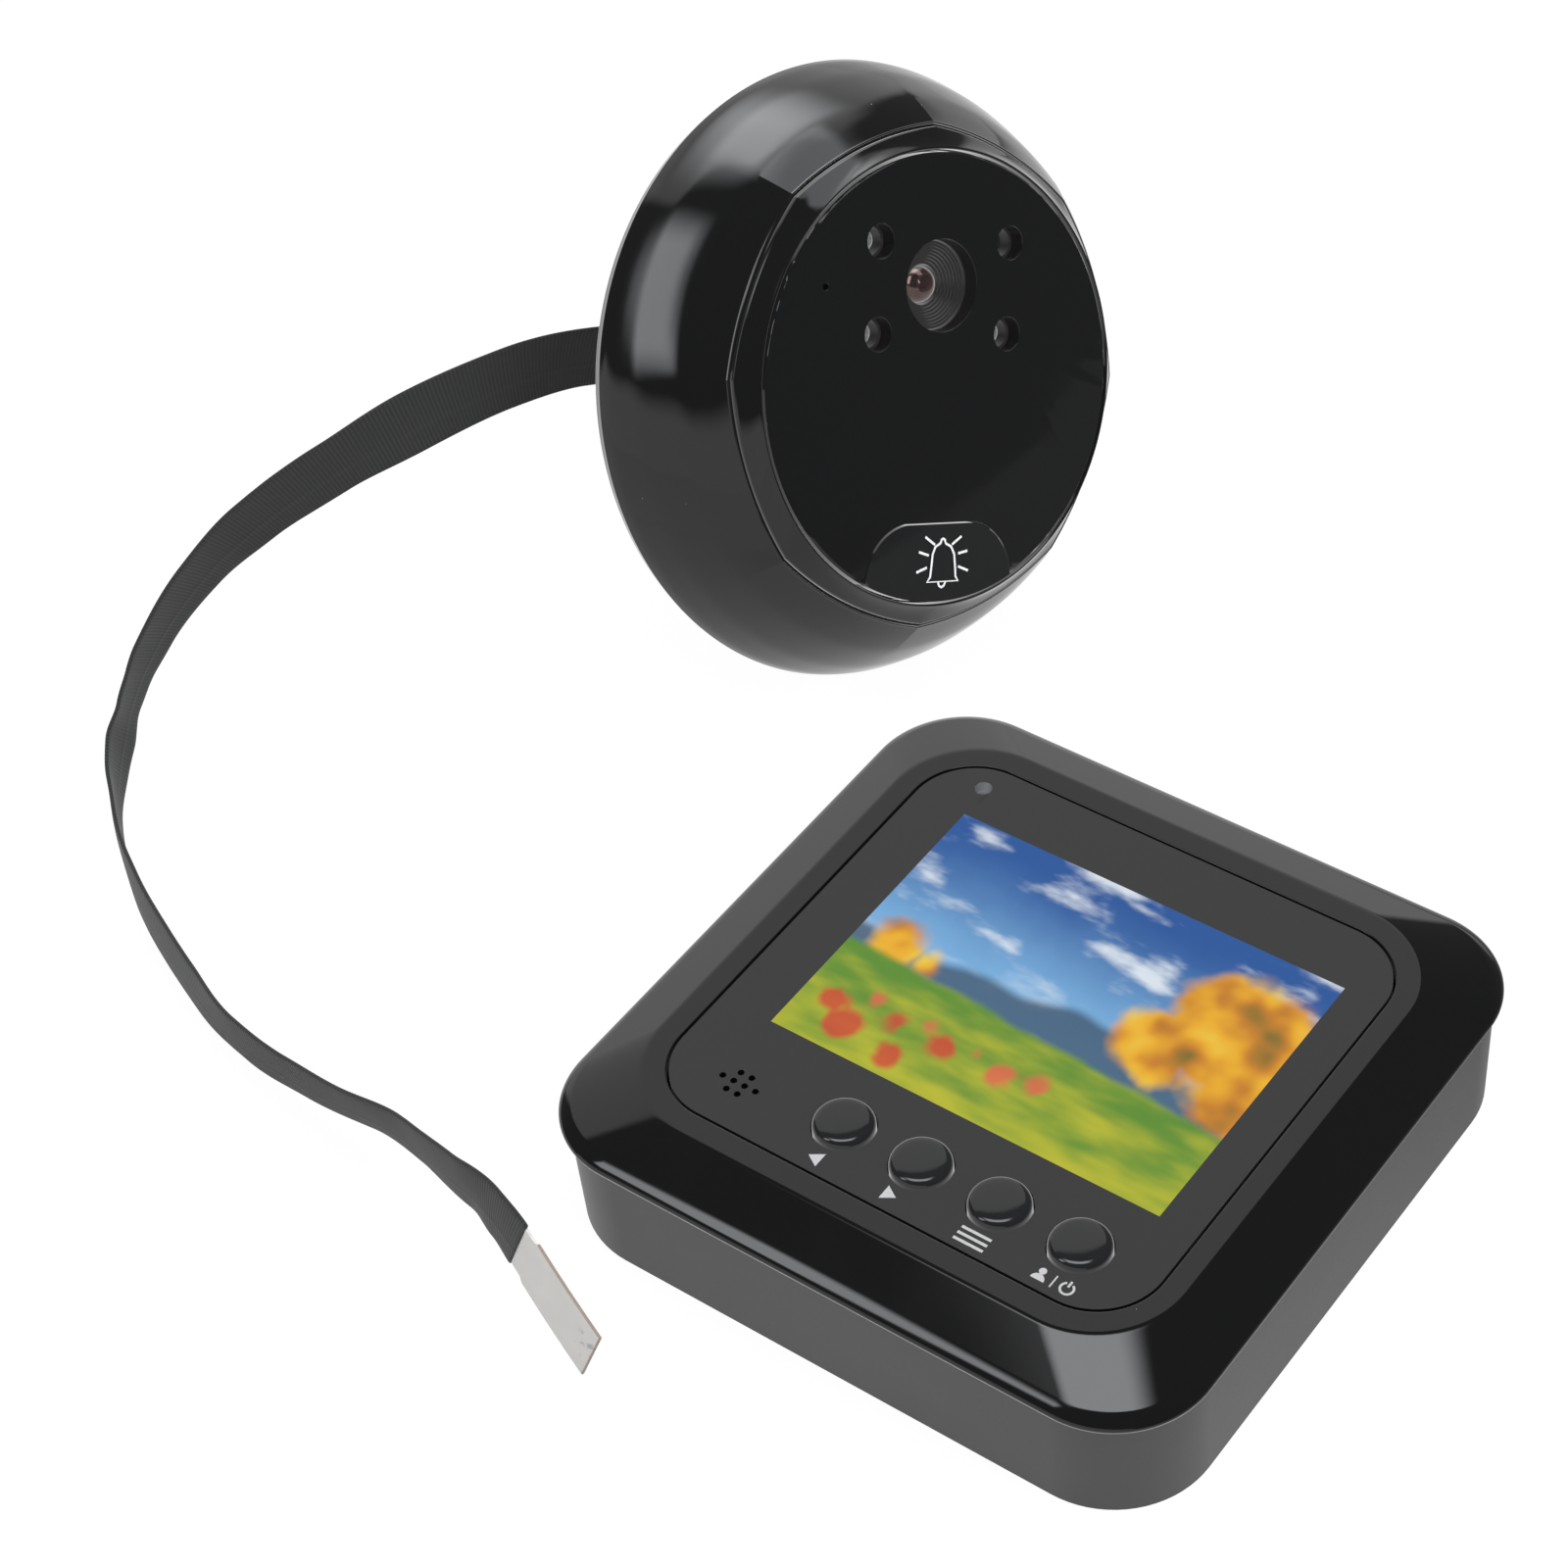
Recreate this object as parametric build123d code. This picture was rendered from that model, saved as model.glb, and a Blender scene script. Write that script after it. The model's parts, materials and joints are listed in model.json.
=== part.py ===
from build123d import *
import os
from math import cos, radians, sin, tan

# A peephole door camera: an indoor monitor that lies on its back, and the outdoor bell unit
# that stands on its rear rim beside it, joined to a ribbon cable that plugs into the monitor.
# Millimetres. The origin is the centre of the monitor's back face, Z points out of the screen,
# Y up the screen and X to its right.

# Fits and cutting
seam_gap = 0.1
running_gap = 0.15
hole_gap = 0.05
overrun = 1.0

# Display
screen_width = 48.96
screen_length = 36.72
screen_x = 1.04
screen_y = 3.29
lcd_width = 60.26
lcd_length = 42.72
lcd_thickness = 2.4
lcd_wall = 0.6
lcd_floor = 1.2
cell_glass_inset = 0.15

# Rear case of the monitor
case_width = 78.0
case_length = 77.8
case_taper_x = 0.2
case_taper_y = 0.7
case_corner = 11.6
case_height = 14.4
case_wall = 1.6
back_wall = 1.6
boss_radius = 3.3
boss_height = 6.0
boss_x = 30.5
boss_y = 31.0
pillar_radius = 1.6
pillar_x = 33.0
pillar_y = 12.0

# Hook slots for the wall bracket
hook_spacing_x = 60.0
hook_spacing_y = 50.0
hook_slot_length = 6.0
hook_slot_width = 3.0

# Bezel of the monitor
bezel_width = 79.3
bezel_length = 79.0
bezel_corner = 11.4
bezel_height = 4.4
bezel_wall = 3.8
bezel_floor = 1.0
skirt_inset = 0.35
skirt_height = 0.9
shoulder_inset = 1.4
shoulder_height = 1.9
roll_inset = 0.4
roll_height = 1.45
rim_width = 66.0
rim_length = 65.4
rim_corner = 10.9
post_radius = 2.6

# Front panel and what shows through it
panel_width = 60.2
panel_length = 59.1
panel_corner = 7.7
panel_thickness = 1.2
led_x = -23.94
led_y = 26.17
led_radius = 1.0
pipe_flange = 0.3
pipe_flange_height = 0.6
pipe_length = 3.6
sound_x = -21.1
sound_y = -23.93
sound_hole_radius = 0.4
sound_pitch_x = 1.43
sound_pitch_y = 1.31

# Buttons under the screen
button_first_x = -8.4
button_pitch = 9.77
button_y = -22.6
button_count = 4
button_hole_radius = 3.57
button_radius = 3.38
button_proud = 0.35
button_dome = 0.75
button_flange = 0.75
button_flange_height = 0.6
button_nub_radius = 1.2
button_travel = 0.3
switch_size = 6.0
switch_height = 1.1
plunger_radius = 1.7
plunger_height = 0.25

# Main board
board_gap_x = 3.3
board_gap_y = 8.95
board_thickness = 1.0
chip_size = 10.0
chip_height = 1.2
chip_x = 25.4
chip_y = -16.0
lamp_width = 1.6
lamp_length = 0.8
lamp_height = 0.7
speaker_radius = 5.5
speaker_height = 2.4
speaker_cone_share = 0.7

# Ribbon socket in the monitor
socket_x = 28.0
socket_width = 11.0
socket_thickness = 4.0
socket_height = 9.0
slot_width = 8.3
slot_thickness = 0.7
slot_depth = 4.5
window_width = 12.0
window_length = 7.0

# Batteries
cell_radius = 5.25
cell_length = 44.5
cell_pitch = 11.0
cell_count = 3
nub_radius = 1.9
nub_length = 0.8
spring_length = 3.0
spring_radius = 3.2
spring_tip_radius = 2.2
contact_thickness = 0.4
contact_width = 8.0
tray_y = 1.5
tray_side_wall = 2.4
tray_end_wall = 1.2
tray_roof = 0.8
divider_thickness = 0.4

# Battery cover
cover_thickness = 1.5
cover_lip = 0.8
cover_tongue = 1.2
grip_width = 14.0
grip_length = 1.0
grip_depth = 0.3
grip_pitch = 2.2
grip_count = 4

# Case screws
screw_radius = 1.0
screw_head_radius = 1.9
screw_head_height = 1.3
screw_length = 9.0
screw_recess = 0.3

# Where the outdoor unit stands: its facing turned about the vertical, its lean back and its roll
unit_x = -53.2
unit_y = 62.0
unit_azimuth = -8.1
unit_lean = 23.45
unit_roll = 28.6

# Housing of the outdoor unit, in its own frame: z is 0 on the glass and negative behind it
seam_radius = 29.7
seam_depth = 2.6
rim_radius = 37.0
rim_depth = 17.1
unit_depth = 20.0
back_radius = 34.9
back_mid_radius = 36.35
back_mid_depth = 18.7
swell_depth_shares = (0.0, 0.186, 0.455, 0.728, 1.0)
swell_radius_shares = (0.0, 0.26, 0.534, 0.781, 1.0)
facet_shares = (0.976, 0.985, 0.992, 0.997, 1.0)
facet_count = 8
spigot_radius = 28.0
shelf_depth = 4.0
shelf_thickness = 1.6
shelf_radius = 25.2
cavity_front_radius = 29.0
cover_seat_radius = 33.4
cover_ledge = 1.2
cover_disc_thickness = 2.0

# Trim ring and face plate
ring_mid_radius = 28.2
ring_mid_depth = 1.3
ring_top_radius = 26.75
ring_top_depth = 0.15
ring_inner_radius = 24.5
glass_radius = 26.3
glass_thickness = 2.0
glass_chamfer = 0.25

# Windows in the face plate
lens_x = -0.4
lens_y = 10.86
lens_window_radius = 5.4
lamp_left_x = -9.9
lamp_right_x = 10.07
lamp_upper_y = 15.9
lamp_lower_y = 5.2
lamp_window_radius = 2.0
voice_x = -17.93
voice_y = 10.67
voice_hole_radius = 0.45
voice_radius = 2.0

# Mask behind the glass
mask_radius = 24.0
mask_thickness = 1.6
mask_cut_y = -16.6

# Bell button
bell_x = 0.45
bell_top = 17.1
bell_flat = 5.2
bell_knee_x = 9.2
bell_knee_y = 19.1
bell_side_x = 11.3
bell_side_y = 23.7
bell_proud = 0.45
bell_bevel = 0.3
bell_bevel_angle = 40.0
bell_thickness = 1.75
bell_travel = 0.6
bell_stem_width = 4.0
bell_stem_length = 3.0
bell_stem_y = 19.0
bell_switch_body = 1.8
bell_plunger_radius = 1.3
bell_plunger_height = 0.65

# Camera board, lens and lamps
camera_board_radius = 22.0
camera_board_depth = 9.0
camera_board_thickness = 1.0
stand_off_radius = 1.6
stand_off_x = 19.0
stand_off_side_x = 11.5
stand_off_side_y = 15.5
board_screw_radius = 0.7
board_screw_head = 1.3
board_screw_head_height = 0.9
board_screw_length = 5.0
holder_size = 13.0
holder_height = 3.0
barrel_radius = 5.15
barrel_wall = 0.9
barrel_front_gap = 0.3
barrel_foot_gap = 0.9
throat_radius = 2.9
throat_depth = 1.9
front_lens_radius = 2.8
front_lens_dome = 0.9
front_lens_height = 1.2
rear_lens_radius = 3.6
rear_lens_height = 1.1
sensor_size = 5.6
sensor_height = 0.6
lamp_radius = 1.5
lamp_gap = 0.4
lamp_body_share = 0.7

# Back of the outdoor unit
insert_spacing = 16.0
insert_radius = 1.25
insert_outer_radius = 2.1
insert_length = 6.0
insert_boss_radius = 3.4
rear_screw_count = 3
rear_screw_inset = 3.2
rear_screw_start = 90.0
rear_boss_radius = 2.2
rear_boss_length = 7.0
foam_margin = 0.4
foam_inner_radius = 20.0
foam_thickness = 0.8
grommet_width = 12.0
grommet_thickness = 5.0
grommet_rim = 1.2
grommet_rim_height = 1.0
header_height = 3.0
header_margin = 1.2

# Ribbon cable and its connector. The first two points follow the unit, the rest are laid by hand:
# over an arch to the surface, along it, and in a low hump to the tail, whose tip rests there.
ribbon_width = 8.0
ribbon_thickness = 1.0
ribbon_exit_run = 5.0
ribbon_route = [
    (-81.6, 64.6, 28.9),
    (-86.5, 60.0, 30.2),
    (-90.6, 51.0, 34.6),
    (-94.2, 39.5, 39.4),
    (-99.3, 27.0, 41.0),
    (-106.0, 15.0, 37.2),
    (-113.4, 4.6, 30.6),
    (-119.6, -4.6, 23.0),
    (-122.6, -13.4, 15.2),
    (-119.4, -22.4, 8.8),
    (-109.0, -29.2, 5.2),
    (-96.0, -35.0, 4.3),
    (-82.5, -39.8, 4.3),
    (-68.2, -41.7, 5.0),
    (-55.7, -43.1, 7.2),
    (-46.2, -44.9, 9.6),
    (-37.4, -46.7, 10.8),
    (-32.55, -48.5, 8.95),
]
corner_share = 0.45
tail_length = 14.5
tail_width = 8.0
tail_thickness = 0.35
tail_root_length = 3.0
tail_root_width = 8.6
tail_root_thickness = 0.6

# Inside of the case, and the board that fits in it
inside_width = case_width - case_taper_x - 2 * case_wall
inside_length = case_length - case_taper_y - 2 * case_wall
board_width = inside_width - 2 * board_gap_x
board_length = inside_length - 2 * board_gap_y

# Heights in the monitor, worked out from the pieces stacked in it
front_z = case_height + bezel_height
panel_z = front_z - panel_thickness
floor_z = panel_z - bezel_floor
lcd_z = floor_z - lcd_thickness
button_rest_z = floor_z - seam_gap - button_flange_height
cell_z = back_wall + cell_radius
tray_roof_z = cell_z + cell_radius + seam_gap
board_z = tray_roof_z + tray_roof
board_top_z = board_z + board_thickness
bay_length = cell_length + spring_length + 2 * contact_thickness
bay_width = cell_count * cell_pitch
tray_width = bay_width + 2 * tray_side_wall
tray_length = bay_length + 2 * tray_end_wall
bay_end_y = tray_y + 0.5 * bay_length
bay_start_y = tray_y - 0.5 * bay_length
cell_end_y = bay_end_y - contact_thickness
button_places = [button_first_x + index * button_pitch for index in range(button_count)]
cell_places = [(index - 0.5 * (cell_count - 1)) * cell_pitch for index in range(cell_count)]
boss_places = [(boss_x * side, boss_y * end) for side in (-1, 1) for end in (-1, 1)]
pillar_places = [(pillar_x * side, pillar_y * end) for side in (-1, 1) for end in (-1, 1)]

# Depths in the outdoor unit
glass_back = -glass_thickness
board_front = -camera_board_depth
board_back = board_front - camera_board_thickness
seat_z = cover_disc_thickness - unit_depth
light_sensor_place = (lamp_right_x, lamp_upper_y)
lamp_places = [(x, y) for x in (lamp_left_x, lamp_right_x) for y in (lamp_upper_y, lamp_lower_y)]
ir_places = [place for place in lamp_places if place != light_sensor_place]

# Radii at the back of the unit, from the seat that the cover drops into
cavity_back_radius = cover_seat_radius - cover_ledge
rear_screw_circle = cover_seat_radius - rear_screw_inset
foam_outer_radius = cover_seat_radius - foam_margin

# Feet that carry the camera board
stand_off_places = [(-stand_off_x, 0), (stand_off_x, 0)]
stand_off_places += [(-stand_off_side_x, -stand_off_side_y), (stand_off_side_x, -stand_off_side_y)]


def disc(radius, low, high, x=0, y=0):
    return Pos(x, y, low) * extrude(Circle(radius), high - low)


def block(width, length, low, high, x=0, y=0):
    return Pos(x, y, low) * extrude(Rectangle(width, length), high - low)


def plate(width, length, corner, low, high, x=0, y=0):
    return Pos(x, y, low) * extrude(RectangleRounded(width, length, corner), high - low)


def together(pieces):
    return Part() + pieces


def turned(points):
    # A solid of revolution about the unit's axis, from (radius, depth) points
    profile = Plane.XZ * make_face(Polyline(*points, close=True))
    return revolve(profile, Axis.Z)


def at_each(places, make):
    return [make(x, y) for x, y in places]


# Monitor

def case_body(width, length, corner, low, high, taper_x, taper_y):
    back = Pos(0, 0, low) * RectangleRounded(width - taper_x, length - taper_y, corner)
    front = Pos(0, 0, high) * RectangleRounded(width, length, corner)
    return loft([back, front], ruled=True)


def screw_holes(x, y):
    hole = disc(screw_radius + hole_gap, 0, boss_height + overrun, x, y)
    return hole + disc(screw_head_radius + running_gap, -overrun, screw_seat_z, x, y)


screw_seat_z = screw_recess + screw_head_height
cover_end_y = 0.5 * (case_length - case_taper_y) - running_gap
cover_plate_width = bay_width + 2 * hole_gap
rebate_width = cover_plate_width + 2 * (cover_tongue + running_gap)


def rear_case():
    shell = case_body(case_width, case_length, case_corner, 0, case_height, case_taper_x, case_taper_y)
    inside_corner = case_corner - case_wall
    shell -= plate(inside_width, inside_length, inside_corner, back_wall, case_height + overrun)
    shell += at_each(boss_places, lambda x, y: disc(boss_radius, 0, boss_height, x, y))
    shell += at_each(pillar_places, lambda x, y: disc(pillar_radius, 0, board_z, x, y))
    shell -= at_each(boss_places, screw_holes)
    opening_length = case_length
    opening_y = bay_start_y - running_gap + 0.5 * opening_length
    door_width = cover_plate_width + 2 * running_gap
    shell -= block(door_width, opening_length, -overrun, back_wall, 0, opening_y)
    shell -= block(rebate_width, opening_length, cover_lip, back_wall, 0, opening_y)
    shell -= block(window_width, window_length, -overrun, back_wall + overrun, socket_x)
    slot = SlotOverall(hook_slot_length, hook_slot_width)
    for x in (-0.5 * hook_spacing_x, 0.5 * hook_spacing_x):
        for y in (-0.5 * hook_spacing_y, 0.5 * hook_spacing_y):
            shell -= Pos(x, y, -overrun) * extrude(slot, back_wall + 2 * overrun)
    return shell


def bezel_section(inset, height):
    corner = bezel_corner - inset
    return Pos(0, 0, case_height + height) * RectangleRounded(
        bezel_width - 2 * inset, bezel_length - 2 * inset, corner)


def front_openings(low, high):
    # The holes that run through the bezel floor and the panel alike
    cuts = [disc(button_hole_radius, low, high, x, button_y) for x in button_places]
    cuts.append(disc(led_radius + hole_gap, low, high, led_x, led_y))
    rows = ((-1, 2), (0, 4), (1, 2))
    for row, count in rows:
        for index in range(count):
            x = sound_x + (index - 0.5 * (count - 1)) * sound_pitch_x
            cuts.append(disc(sound_hole_radius, low, high, x, sound_y + row * sound_pitch_y))
    return cuts


def front_bezel():
    rim = Pos(0, 0, front_z) * RectangleRounded(rim_width, rim_length, rim_corner)
    shell = loft([
        bezel_section(skirt_inset, 0),
        bezel_section(0, skirt_height),
        bezel_section(roll_inset, roll_height),
        bezel_section(shoulder_inset, shoulder_height),
        rim,
    ], ruled=True)
    room_width = bezel_width - 2 * bezel_wall
    room_length = bezel_length - 2 * bezel_wall
    shell -= plate(room_width, room_length, bezel_corner - bezel_wall, 0, floor_z)
    pocket_width = panel_width + 2 * running_gap
    pocket_length = panel_length + 2 * running_gap
    shell -= plate(pocket_width, pocket_length, panel_corner, panel_z, front_z + overrun)
    shell -= block(screen_width, screen_length, floor_z - overrun, panel_z, screen_x, screen_y)
    shell += at_each(boss_places, lambda x, y: disc(post_radius, boss_height, floor_z, x, y))
    pilot_top = screw_seat_z + screw_length + running_gap
    shell -= at_each(boss_places, lambda x, y: disc(screw_radius + hole_gap, 0, pilot_top, x, y))
    shell -= front_openings(floor_z - overrun, panel_z + overrun)
    return shell


def front_panel():
    sheet = plate(panel_width, panel_length, panel_corner, panel_z, front_z)
    sheet -= block(screen_width, screen_length, panel_z, front_z, screen_x, screen_y)
    return sheet - front_openings(panel_z - overrun, front_z + overrun)


def screen_window():
    return block(screen_width, screen_length, panel_z, front_z, screen_x, screen_y)


def lcd_frame():
    frame = block(lcd_width, lcd_length, lcd_z, floor_z, screen_x, screen_y)
    well_width = lcd_width - 2 * lcd_wall
    well_length = lcd_length - 2 * lcd_wall
    return frame - block(well_width, well_length, lcd_z + lcd_floor, floor_z, screen_x, screen_y)


def lcd_glass():
    width = lcd_width - 2 * lcd_wall - 2 * cell_glass_inset
    length = lcd_length - 2 * lcd_wall - 2 * cell_glass_inset
    return block(width, length, lcd_z + lcd_floor, floor_z, screen_x, screen_y)


def main_board():
    return block(board_width, board_length, board_z, board_top_z)


def main_chip():
    return block(chip_size, chip_size, board_z - chip_height, board_z, chip_x, chip_y)


def button_cap(x):
    collar_top = button_rest_z + button_flange_height
    edge_z = front_z + button_proud
    cap = disc(button_radius, button_rest_z, edge_z, x, button_y)
    cap += disc(button_radius + button_flange, button_rest_z, collar_top, x, button_y)
    cap += disc(button_nub_radius, button_nub_z, button_rest_z, x, button_y)
    arc = ThreePointArc((button_radius, 0), (0.62 * button_radius, 0.66 * button_dome), (0, button_dome))
    dome_outline = make_face(Curve() + [arc, Line((0, button_dome), (0, 0)), Line((0, 0), (button_radius, 0))])
    return cap + Pos(x, button_y, edge_z) * revolve(Plane.XZ * dome_outline, Axis.Z)


switch_top_z = board_top_z + switch_height
button_nub_z = switch_top_z + plunger_height + button_travel + hole_gap


def tact_switch(x):
    body = block(switch_size, switch_size, board_top_z, switch_top_z, x, button_y)
    return body + disc(plunger_radius, switch_top_z, switch_top_z + plunger_height, x, button_y)


def speaker():
    top = board_top_z + seam_gap + speaker_height
    can = disc(speaker_radius, board_top_z + seam_gap, top, sound_x, sound_y)
    cone = Cone(speaker_cone_share ** 2 * speaker_radius, speaker_cone_share * speaker_radius,
                speaker_cone_share * speaker_height)
    return can - Pos(sound_x, sound_y, top - 0.5 * speaker_cone_share * speaker_height) * cone


def light_pipe():
    pipe = disc(led_radius, front_z - pipe_length, front_z, led_x, led_y)
    return pipe + disc(led_radius + pipe_flange, floor_z - pipe_flange_height, floor_z, led_x, led_y)


def status_lamp():
    return block(lamp_width, lamp_length, board_top_z, board_top_z + lamp_height, led_x, led_y)


def ribbon_socket():
    low = board_z - socket_height
    body = block(socket_width, socket_thickness, low, board_z, socket_x)
    return body - block(slot_width, slot_thickness, low, low + slot_depth, socket_x)


def battery_tray():
    tray = block(tray_width, tray_length, back_wall, board_z, 0, tray_y)
    tray -= block(bay_width, bay_length, back_wall, tray_roof_z, 0, tray_y)
    for index in range(1, cell_count):
        x = (index - 0.5 * cell_count) * cell_pitch
        tray += block(divider_thickness, bay_length, cell_z + 0.6 * cell_radius, tray_roof_z, x, tray_y)
    return tray


def battery_cell(x):
    can_end = cell_end_y - nub_length
    can = disc(cell_radius, 0, cell_length - nub_length)
    cell = can + disc(nub_radius, cell_length - nub_length, cell_length)
    return Pos(x, can_end - (cell_length - nub_length), cell_z) * Rot(-90, 0, 0) * cell


def battery_springs():
    spring_start = bay_start_y + contact_thickness
    coil = Pos(0, 0, 0.5 * spring_length) * Cone(spring_radius, spring_tip_radius, spring_length)
    leaf = extrude(Rectangle(contact_width, contact_width), -contact_thickness)
    spring = Rot(-90, 0, 0) * (coil + leaf)
    return together([Pos(x, spring_start, cell_z) * spring for x in cell_places])


def battery_plates():
    leaf = Rot(-90, 0, 0) * extrude(Rectangle(contact_width, contact_width), contact_thickness)
    return together([Pos(x, cell_end_y, cell_z) * leaf for x in cell_places])


def battery_cover():
    start_y = bay_start_y
    length = cover_end_y - start_y
    centre_y = 0.5 * (cover_end_y + start_y)
    top = cover_thickness
    tongue_width = cover_plate_width + 2 * cover_tongue
    cover = block(cover_plate_width, length, 0, top, 0, centre_y)
    cover += block(tongue_width, length, cover_lip + hole_gap, top, 0, centre_y)
    for index in range(grip_count):
        y = cover_end_y - (index + 2) * grip_pitch
        cover -= block(grip_width, grip_length, 0, grip_depth, 0, y)
    return cover


def case_screw(x, y):
    head = disc(screw_head_radius, screw_recess, screw_seat_z, x, y)
    slot = block(1.2 * screw_head_radius, 0.25 * screw_head_radius, screw_recess, 0.5 * screw_seat_z, x, y)
    return head + disc(screw_radius, screw_seat_z, screw_seat_z + screw_length, x, y) - slot


# Outdoor unit, in its own frame

def facet_ring(radius, share, z):
    # Eight bowed sides between corners on a circle of this radius
    sides = []
    step = 360 / facet_count
    for index in range(facet_count):
        start, middle, end = [radians((index + part) * step) for part in (0, 0.5, 1)]
        inner = radius * share
        sides.append(ThreePointArc(
            (radius * cos(start), radius * sin(start), z),
            (inner * cos(middle), inner * sin(middle), z),
            (radius * cos(end), radius * sin(end), z)))
    return make_face(Wire(sides))


def housing_outside():
    sections = []
    for depth_share, radius_share, facet_share in zip(swell_depth_shares, swell_radius_shares, facet_shares):
        depth = seam_depth + depth_share * (rim_depth - seam_depth)
        radius = seam_radius + radius_share * (rim_radius - seam_radius)
        sections.append(facet_ring(radius, facet_share, -depth))
    swell = loft(sections)
    start = (rim_radius, -rim_depth)
    end = (back_radius, -unit_depth)
    rim = ThreePointArc(start, (back_mid_radius, -back_mid_depth), end)
    line = Polyline(end, (0, -unit_depth), (0, -rim_depth), start)
    tail = revolve(Plane.XZ * make_face(Curve() + [rim, line]), Axis.Z)
    return swell + tail


def rear_screw_places():
    step = 360 / rear_screw_count
    angles = [radians(rear_screw_start + index * step) for index in range(rear_screw_count)]
    return [(rear_screw_circle * cos(angle), rear_screw_circle * sin(angle)) for angle in angles]


def door_housing():
    shelf_back = -shelf_depth - shelf_thickness
    shell = housing_outside()
    mouth_radius = spigot_radius + seam_gap
    low = -unit_depth - overrun
    shell -= turned([
        (0, overrun), (mouth_radius, overrun), (mouth_radius, -shelf_depth),
        (shelf_radius, -shelf_depth), (shelf_radius, shelf_back), (cavity_front_radius, shelf_back),
        (cavity_back_radius, seat_z), (cover_seat_radius, seat_z), (cover_seat_radius, low), (0, low),
    ])
    boss_top = seat_z + rear_boss_length
    places = rear_screw_places()
    shell += at_each(places, lambda x, y: disc(rear_boss_radius, seat_z, boss_top, x, y))
    pilot_top = seat_z - cover_disc_thickness + screw_head_height + rear_boss_length
    return shell - at_each(places, lambda x, y: disc(screw_radius + hole_gap, seat_z, pilot_top, x, y))


def trim_ring():
    lip = loft([
        facet_ring(seam_radius, facet_shares[0], seam_gap - seam_depth),
        Pos(0, 0, -ring_mid_depth) * facet_ring(ring_mid_radius, 0.5 * (1 + facet_shares[0]), 0),
        facet_ring(ring_top_radius, 1, -ring_top_depth),
    ], ruled=True)
    lip += disc(spigot_radius, -shelf_depth, seam_gap - seam_depth)
    lip -= disc(glass_radius + seam_gap, glass_back, overrun)
    return lip - disc(ring_inner_radius, -shelf_depth - overrun, overrun)


def bell_outline(growth):
    # Flat top, rounded shoulders, and sides that run out past the edge of the glass
    flat = bell_flat + growth
    knee_x = bell_knee_x + growth
    side_x = bell_side_x + growth
    top = -bell_top + growth
    knee = -bell_knee_y + growth
    foot = -glass_radius - overrun
    edges = [
        Line((bell_x - flat, top), (bell_x + flat, top)),
        ThreePointArc((bell_x + flat, top), (bell_x + knee_x, knee), (bell_x + side_x, -bell_side_y)),
        Line((bell_x + side_x, -bell_side_y), (bell_x + side_x, foot)),
        Line((bell_x + side_x, foot), (bell_x - side_x, foot)),
        Line((bell_x - side_x, foot), (bell_x - side_x, -bell_side_y)),
        ThreePointArc((bell_x - side_x, -bell_side_y), (bell_x - knee_x, knee), (bell_x - flat, top)),
    ]
    return make_face(Curve() + edges)


def lens_hole(growth, low, high):
    return disc(lens_window_radius + growth, low, high, lens_x, lens_y)


def lamp_holes(growth, low, high):
    return [disc(lamp_window_radius + growth, low, high, x, y) for x, y in lamp_places]


def face_plate():
    glass = disc(glass_radius, glass_back, 0)
    glass = chamfer(glass.edges().group_by(Axis.Z)[-1], glass_chamfer)
    notch = Pos(0, 0, glass_back - overrun) * extrude(bell_outline(running_gap), glass_thickness + 2 * overrun)
    glass -= notch
    glass -= disc(voice_hole_radius, glass_back - overrun, overrun, voice_x, voice_y)
    glass -= lens_hole(hole_gap, glass_back - overrun, overrun)
    return glass - lamp_holes(hole_gap, glass_back - overrun, overrun)


def lens_window():
    return lens_hole(0, glass_back, 0)


def lamp_windows():
    return together(lamp_holes(0, glass_back, 0))


def sensor_mask():
    mask_back = glass_back - mask_thickness
    mask = disc(mask_radius, mask_back, glass_back)
    mask -= block(2 * mask_radius, mask_radius, mask_back, glass_back, 0, mask_cut_y - 0.5 * mask_radius)
    mask -= disc(voice_radius + hole_gap, mask_back, glass_back, voice_x, voice_y)
    mask -= disc(barrel_radius + running_gap, mask_back, glass_back, lens_x, lens_y)
    return mask - [disc(lamp_radius + running_gap, mask_back, glass_back, x, y) for x, y in lamp_places]


def door_microphone():
    return disc(voice_radius, glass_back - mask_thickness, glass_back, voice_x, voice_y)


def bell_button():
    low = bell_proud - bell_thickness
    outline = bell_outline(0) & Circle(glass_radius)
    cap = Pos(0, 0, low) * extrude(outline, bell_thickness - bell_bevel)
    cap += Pos(0, 0, bell_proud - bell_bevel) * extrude(outline, bell_bevel, taper=bell_bevel_angle)
    return cap + block(bell_stem_width, bell_stem_length, bell_stem_z, low, bell_x, -bell_stem_y)


bell_plunger_z = board_front + bell_switch_body + bell_plunger_height
bell_stem_z = bell_plunger_z + bell_travel + hole_gap


def bell_switch():
    body_top = board_front + bell_switch_body
    body = block(switch_size, switch_size, board_front, body_top, bell_x, -bell_stem_y + hole_gap)
    return body + disc(bell_plunger_radius, body_top, bell_plunger_z, bell_x, -bell_stem_y)


def camera_board():
    board = disc(camera_board_radius, board_back, board_front)
    return board - at_each(stand_off_places, lambda x, y: disc(
        board_screw_radius + hole_gap, board_back - overrun, board_front + overrun, x, y))


def board_screw(x, y):
    head = disc(board_screw_head, board_front, board_front + board_screw_head_height, x, y)
    return head + disc(board_screw_radius, board_front - board_screw_length, board_front, x, y)


def lens_holder():
    top = board_front + holder_height
    holder = block(holder_size, holder_size, board_front, top, lens_x, lens_y)
    return holder - disc(barrel_radius + hole_gap, board_front, top, lens_x, lens_y)


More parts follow.
